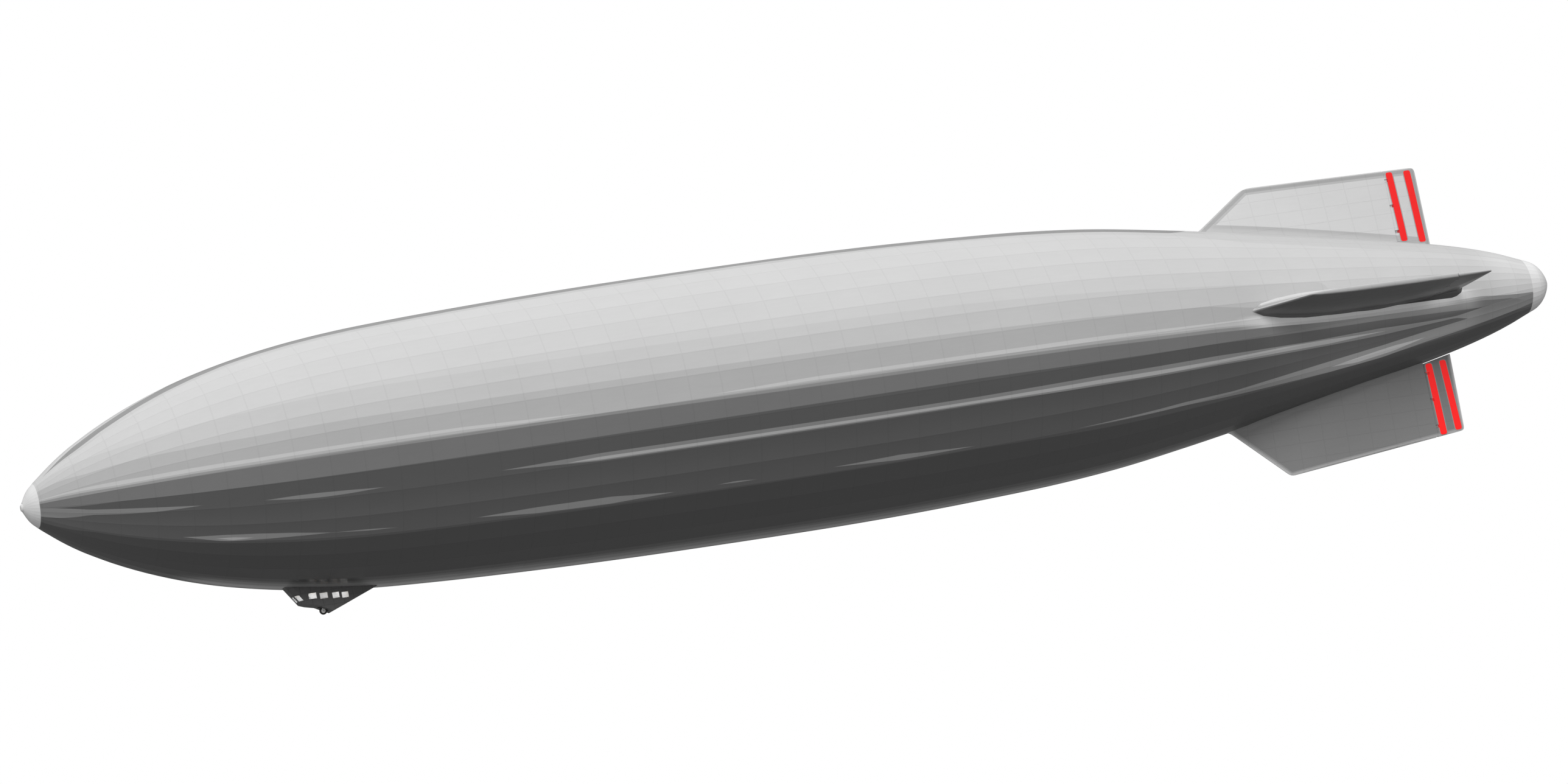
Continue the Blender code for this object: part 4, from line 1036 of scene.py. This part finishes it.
def build_hull_cover():
    """One cover drawn out from the bow to the tail, with rounded ridges and cloth that sags."""
    places = hull_places()
    x = places[0][0]
    radius = corner_radius(x)
    settings = {"location": (x, 0, 0), "rotation": (0, math.pi / 2, 0)}
    cover = add("circle", "hull_cover", vertices=FACETS, radius=radius, **settings)
    open_mesh(cover, "SELECT")
    bpy.ops.transform.rotate(value=math.radians(FACET / 2), orient_axis="X", center_override=(x, 0, 0))
    bpy.ops.mesh.subdivide(number_cuts=1)
    bpy.ops.mesh.select_all(action="SELECT")
    for next_x, sags in places[1:]:
        next_radius = corner_radius(next_x)
        bpy.ops.mesh.extrude_region_move(TRANSFORM_OT_translate={"value": (next_x - x, 0, 0)})
        size = next_radius / radius
        bpy.ops.transform.resize(value=(1, size, size), center_override=(next_x, 0, 0))
        x, radius = next_x, next_radius
    tail = NODES_BOX["tail_cap"][0].x
    bpy.ops.mesh.extrude_region_move(TRANSFORM_OT_translate={"value": (tail - x, 0, 0)})
    bpy.ops.mesh.merge(type="CENTER")

    sagging = {round(place, 4) for place, sags in places if sags}

    def in_cloth(vertex):
        return round(vertex.co.x, 4) in sagging and off_ridge(vertex.co) > RIDGE_NEAR

    pick(cover, "VERT", in_cloth)
    bpy.ops.transform.resize(value=(1, 1 - SAG, 1 - SAG), center_override=(0, 0, 0))

    def is_ridge(edge):
        a, b = (vertex.co for vertex in edge.verts)
        if abs(a.x - b.x) < CLOSE or min(math.hypot(a.y, a.z), math.hypot(b.y, b.z)) < TIP_RADIUS:
            return False
        return off_ridge((a + b) / 2) < RIDGE_NEAR

    pick(cover, "EDGE", is_ridge)
    settings = {"offset_type": "PERCENT", "offset_pct": RIDGE_SHARE, "segments": 2}
    bpy.ops.mesh.bevel(affect="EDGES", clamp_overlap=True, **settings)
    bpy.ops.mesh.select_all(action="SELECT")
    bpy.ops.mesh.remove_doubles(threshold=COVER_MERGE)
    bpy.ops.mesh.normals_make_consistent(inside=False)
    nothing_selected()
    return cover


def part_cover(cover, name, wanted):
    """Separate the faces that a test wants into a piece of their own."""
    open_mesh(cover)
    pick(cover, "FACE", wanted)
    bpy.ops.mesh.separate(type="SELECTED")
    nothing_selected()
    made = [o for o in bpy.context.scene.objects if o.name.startswith(cover.name + ".")][0]
    made.name = name
    return made


def cover_hull(paint):
    """The hull's pieces: bow cover, upper and lower skins, tail cover."""
    cover = build_hull_cover()
    fore, aft = NODES_BOX["envelope_upper"][1].x, NODES_BOX["envelope_upper"][0].x

    def side(face):
        centre = face.calc_center_median()
        return centre.z > math.hypot(centre.y, centre.z) * math.sin(math.radians(SEAM_ANGLE))

    bow = part_cover(cover, "bow_cover", lambda face: face.calc_center_median().x > fore)
    tail = part_cover(cover, "tail_cover", lambda face: face.calc_center_median().x < aft)
    upper = part_cover(cover, "upper_cover", side)
    cover.name = "lower_cover"
    rows = (
        (bow, "bow_cap", "silver_fabric"),
        (tail, "tail_cap", "silver_fabric"),
        (upper, "envelope_upper", "silver_fabric"),
        (cover, "envelope_lower", "dark_fabric"),
    )
    for piece, node, slot in rows:
        apply_modifier(piece, "SOLIDIFY", thickness=SKIN, offset=-1)
        mount(piece, paint, replaces=(node,), smooth=40)
        even_shading(piece)


cover_hull(hull_dope())

# Tail surfaces


def build_tail():
    """Fins, rudders and elevators, from the solids with whole faces and even shading."""
    upper = {"plan": UPPER_PLAN, "face": TONE_FIN, "rims": UPPER_RIM, "foot_band": FOOT_BAND}
    lower = {"plan": LOWER_PLAN, "face": TONE_LOWER_FIN, "rims": LOWER_RIM}
    side = fin_dope("side_fin_dope", SIDE_PLAN, TONE_FIN, UPPER_RIM, under=TONE_SIDE_FIN)
    upper_rudder = fin_dope("upper_rudder_dope", stripes=UPPER_STRIPES, glow=UPPER_GLOW, **upper)
    lower_rudder = fin_dope("lower_rudder_dope", stripes=LOWER_STRIPES, glow=LOWER_GLOW, **lower)
    rows = (
        ("fin_upper", fin_dope("upper_fin_dope", **upper), "silver_fabric", "root"),
        ("rudder_upper", upper_rudder, "silver_fabric", "rudder_upper"),
        ("fin_lower", fin_dope("lower_fin_dope", **lower), "dark_fabric", "root"),
        ("rudder_lower", lower_rudder, "dark_fabric", "rudder_lower"),
        ("fin_port", side, "dark_fabric", "root"),
        ("fin_starboard", side, "dark_fabric", "root"),
        ("elevator_port", side, "dark_fabric", "elevator_port"),
        ("elevator_starboard", side, "dark_fabric", "elevator_starboard"),
    )
    for node, paint, slot, body in rows:
        piece = copy_of_node(node, node + "_cover")
        mount(piece, paint, body, replaces=(node,), smooth=24)
        even_shading(piece)
        # The stripes cast no red on the hull
        piece.visible_diffuse = body == "root"
        piece.visible_glossy = body == "root"


build_tail()

# Car, landing wheel and mooring cone

STEEL = worn("brushed_steel", (0.45, 0.45, 0.46), 0.32, 1.0)
ALUMINIUM = worn("aluminium", (0.70, 0.70, 0.71), 0.38, 1.0)
PALE_PAINT = worn("pale_paint", (0.72, 0.72, 0.72), 0.4, wear=0.2, coat=0.3)
WHEEL_PAINT = worn("wheel_disc_paint", (0.86, 0.86, 0.84), 0.4, wear=0.12, coat=0.4)
RUBBER = worn("tyre_rubber", (0.035, 0.035, 0.035), 0.78, wear=0.6)
CAR_PAINT = panelled_paint()
FRAME_PAINT = worn("window_frame_paint", (0.16, 0.16, 0.16), 0.4)
WOOD = varnished_wood()
FINISHES = {
    "steel": STEEL,
    "aluminium": ALUMINIUM,
    "car_paint": CAR_PAINT,
    "wood": WOOD,
    "rubber": RUBBER,
    "window_glass": pane(),
}


def window_frame(centre, width, yaw, rake=0.0):
    """A frame round a window, flat against its wall, which leans by a rake."""
    inner, outer = WINDOW_HEIGHT / 2, WINDOW_HEIGHT / 2 + FRAME_WIDTH
    piece = add("plane", "frame", size=1.0)
    open_mesh(piece, "SELECT")
    bpy.ops.transform.resize(value=(width + FRAME_WIDTH * 2, outer * 2, 1), center_override=(0, 0, 0))
    bpy.ops.mesh.inset(thickness=FRAME_WIDTH)
    bpy.ops.mesh.delete(type="FACE")
    bpy.ops.mesh.select_all(action="SELECT")
    bpy.ops.mesh.extrude_region_move(TRANSFORM_OT_translate={"value": (0, 0, FRAME_DEPTH)})
    bpy.ops.mesh.select_all(action="SELECT")
    bpy.ops.mesh.normals_make_consistent(inside=False)
    nothing_selected()
    piece.rotation_euler = (math.pi / 2, 0, yaw)
    piece.location = centre
    choose(piece)
    bpy.ops.object.transform_apply(location=True, rotation=True, scale=True)
    open_mesh(piece)
    for rise in (-outer, -inner, inner, outer):
        pick(piece, "VERT", lambda vertex: abs(vertex.co.z - centre[2] - rise) < FRAME_NEAR)
        bpy.ops.transform.translate(value=(rake * rise, 0, 0))
    nothing_selected()
    soften(piece, FRAME_ROUND)
    return piece


def bend_at_taper(piece, side):
    """Bend a frame on a side wall where the car starts to taper."""
    open_mesh(piece, "SELECT")
    bpy.ops.mesh.bisect(plane_co=(CAR_TAPER_X, 0, 0), plane_no=(1, 0, 0))
    pick(piece, "VERT", lambda vertex: vertex.co.x < CAR_TAPER_X - CLOSE)
    centre = (CAR_TAPER_X, side * CAR_HALF, 0)
    bpy.ops.transform.rotate(value=-side * CAR_TAPER, orient_axis="Z", center_override=centre)
    nothing_selected()


def build_car():
    """The car's plating, window frames and what stands in it, its wheel fork and the mooring cone."""
    body = copy_of_node("car_shell", "car_plating")
    soften(body, PLATING_ROUND)
    mount(body, CAR_PAINT, replaces=("car_shell",), smooth=32)
    even_shading(body)

    frames = []
    for x, z, width in SIDE_WINDOWS:
        for side in (-1, 1):
            made = window_frame((x, side * CAR_HALF, z), width, 0.0 if side < 0 else math.pi)
            if x < CAR_TAPER_X + width / 2:
                bend_at_taper(made, side)
            frames.append(made)
    for z, width, first, second in SLOPED_WINDOWS:
        lean = (z - RAKE_FOOT[1]) * RAKE
        yaw = math.atan2(second[1] - first[1], second[0] - first[0])
        middle = ((first[0] + second[0]) / 2 + lean, (first[1] + second[1]) / 2, z)
        frames.append(window_frame(middle, width, yaw, RAKE))
    mount(join(frames, "window_frames"), FRAME_PAINT, smooth=32)

    # Node, slot, finish, how far its edges are rounded
    rows = (
        ("car_floor", "wood", WOOD, 0.0006),
        ("chart_table", "wood", WOOD, 0.0014),
        ("rudder_helm", "steel", STEEL, 0.0),
        ("elevator_helm", "steel", STEEL, 0.0),
        ("ladder", "aluminium", ALUMINIUM, 0.0005),
        ("wheel_fork", "steel", PALE_PAINT, 0.0012),
        ("landing_axle", "steel", STEEL, 0.0008),
        ("mooring_cone", "steel", PALE_PAINT, 0.0030),
    )
    for node, slot, finish, width in rows:
        piece = copy_of_node(node, node + "_finished")
        if width:
            soften(piece, width)
        mount(piece, finish, replaces=(node,))


def build_tyre():
    """The landing wheel's tyre, with cross grooves in its tread."""
    low, high = NODES_BOX["landing_tyre"]
    centre, outer, half_width = (low + high) / 2, (high.z - low.z) / 2, (high.y - low.y) / 2
    inner = (NODES_BOX["landing_hub"][1].z - NODES_BOX["landing_hub"][0].z) / 2
    thickness = (outer - inner) / 2
    tyre = add(
        "torus",
        "landing_tyre_treaded",
        major_radius=(outer + inner) / 2,
        minor_radius=thickness,
        major_segments=TREAD_BLOCKS * 2,
        minor_segments=TYRE_SIDES,
        rotation=(math.pi / 2, 0, 0),
    )
    open_mesh(tyre, "SELECT")
    bpy.ops.transform.resize(value=(1, half_width / thickness, 1), center_override=(0, 0, 0))
    bpy.ops.transform.translate(value=centre)

    def groove(face):
        spot = face.calc_center_median() - centre
        turn = math.degrees(math.atan2(spot.z, spot.x)) % (360 / TREAD_BLOCKS)
        return math.hypot(spot.x, spot.z) > outer - TREAD_REACH and turn < 180 / TREAD_BLOCKS

    pick(tyre, "FACE", groove)
    bpy.ops.mesh.inset(thickness=TREAD_MARGIN)
    bpy.ops.transform.shrink_fatten(value=-TREAD_DEPTH)
    nothing_selected()
    mount(tyre, RUBBER, "landing_wheel", replaces=("landing_tyre",), smooth=32)


def build_hub():
    """The landing wheel's disc hub, with a ring of bolts on either side."""
    low, high = NODES_BOX["landing_tyre"]
    centre = (low + high) / 2
    hub = copy_of_node("landing_hub", "landing_hub_finished")
    soften(hub, HUB_ROUND)
    shape = {"vertices": 6, "radius": BOLT_RADIUS, "depth": BOLT_LENGTH}
    bolts = []
    for side in (-1, 1):
        for k in range(HUB_BOLTS):
            turn = 2 * math.pi * k / HUB_BOLTS
            spot = (HUB_BOLT_CIRCLE * math.cos(turn), side * HUB_FACE, HUB_BOLT_CIRCLE * math.sin(turn))
            spot = centre + Vector(spot)
            bolt = add("cylinder", "bolt", location=spot, rotation=(math.pi / 2, turn, 0), **shape)
            soften(bolt, BOLT_ROUND)
            bolts.append(bolt)
    mount(hub, WHEEL_PAINT, "landing_wheel", replaces=("landing_hub",))
    mount(join(bolts, "hub_bolts"), STEEL, "landing_wheel")


def finish_solids():
    """Give the solids that show as they are the finish of their slot."""
    for row in frame["record"]["subparts"]:
        if row["material_slot"] in FINISHES:
            mesh = NODES[row["node"]].data
            mesh.materials.clear()
            mesh.materials.append(FINISHES[row["material_slot"]])


build_car()
build_tyre()
build_hub()
finish_solids()

# Surroundings


def build_floor():
    """A pale floor far below, seen from above only."""
    floor = add("plane", "floor", size=FLOOR_SIZE, location=(0, 0, FLOOR_Z))
    material, tree, shader = new_material("pale_floor", FLOOR_ROUGHNESS)
    shader.inputs["Base Color"].default_value = (TONE_FLOOR,) * 3 + (1.0,)
    clear = tree.nodes.new("ShaderNodeBsdfTransparent")
    one_side = tree.nodes.new("ShaderNodeMixShader")
    tree.links.new(tree.nodes.new("ShaderNodeNewGeometry").outputs["Backfacing"], one_side.inputs["Fac"])
    tree.links.new(shader.outputs["BSDF"], one_side.inputs[1])
    tree.links.new(clear.outputs["BSDF"], one_side.inputs[2])
    tree.links.new(one_side.outputs["Shader"], tree.nodes["Material Output"].inputs["Surface"])
    floor.data.materials.append(material)
    floor.visible_diffuse = False
    floor.visible_glossy = False


def build_sky():
    """White behind the ship; light that falls off from the zenith to the ground."""
    world = bpy.data.worlds.new("studio")
    bpy.context.scene.world = world
    world.use_nodes = True
    tree = world.node_tree
    tree.nodes.clear()
    direction = tree.nodes.new("ShaderNodeTexCoord").outputs["Generated"]
    height = split(tree, direction)["Z"]
    sky = tree.nodes.new("ShaderNodeValToRGB")
    stops = sky.color_ramp.elements
    stops[0].position, stops[0].color = 0.0, (SKY_BELOW,) * 3 + (1,)
    stops[1].position, stops[1].color = 1.0, (SKY_ABOVE,) * 3 + (1,)
    stops.new(0.5).color = (SKY_LEVEL,) * 3 + (1,)
    tree.links.new(maths(tree, "MULTIPLY_ADD", height, 0.5, 0.5), sky.inputs["Fac"])
    rays = tree.nodes.new("ShaderNodeLightPath").outputs
    mirrored = ramp(tree, height, 0.0, SHEEN_TOP, SHEEN_LEVEL, SHEEN_ABOVE)
    mirrored = blend(tree, ramp(tree, height, 0.0, SHEEN_FOOT), mirrored, SHEEN_BELOW)
    light = tint(tree, rays["Is Glossy Ray"], sky.outputs["Color"], mirrored)
    light = tint(tree, rays["Is Camera Ray"], light, (1.0, 1.0, 1.0, 1.0))
    lit = tree.nodes.new("ShaderNodeBackground")
    tree.links.new(light, lit.inputs["Color"])
    tree.links.new(lit.outputs[0], tree.nodes.new("ShaderNodeOutputWorld").inputs["Surface"])


def build_suns():
    """Broad suns from either side."""
    for name, towards, strength, width in SUNS:
        light = bpy.data.lights.new(name, "SUN")
        light.energy = strength
        light.angle = math.radians(width)
        lamp = bpy.data.objects.new(name, light)
        lamp.visible_glossy = False
        bpy.context.scene.collection.objects.link(lamp)
        lamp.rotation_mode = "QUATERNION"
        lamp.rotation_quaternion = Vector(towards).to_track_quat("Z", "Y")


def build_cabin_lamps():
    """Small lamps under the car's roof."""
    for place, power in CABIN_LAMPS:
        light = bpy.data.lights.new("cabin_lamp", "POINT")
        light.energy = power
        light.shadow_soft_size = CABIN_LAMP_SIZE
        lamp = bpy.data.objects.new("cabin_lamp", light)
        lamp.visible_camera = False
        lamp.visible_glossy = False
        lamp.visible_transmission = False
        bpy.context.scene.collection.objects.link(lamp)
        lamp.location = place


def build_camera():
    """A long lens from the port bow, low down, tilted so that the ship climbs in the frame."""
    towards = Vector((
        math.sin(CAMERA_ROUND) * math.cos(CAMERA_BELOW),
        math.cos(CAMERA_ROUND) * math.cos(CAMERA_BELOW),
        -math.sin(CAMERA_BELOW),
    ))
    camera = bpy.data.objects.new("camera", bpy.data.cameras.new("camera"))
    bpy.context.scene.collection.objects.link(camera)
    camera.data.lens = LENS
    camera.data.sensor_width = SENSOR_WIDTH
    camera.data.clip_end = FAR_CLIP
    camera.location = AIM + towards * CAMERA_DISTANCE
    camera.rotation_mode = "QUATERNION"
    roll = Quaternion((0, 0, 1), CAMERA_ROLL)
    camera.rotation_quaternion = (-towards).to_track_quat("-Z", "Y") @ roll
    bpy.context.scene.camera = camera


build_floor()
build_sky()
build_suns()
build_cabin_lamps()
build_camera()
bpy.context.scene.view_settings.view_transform = "Standard"
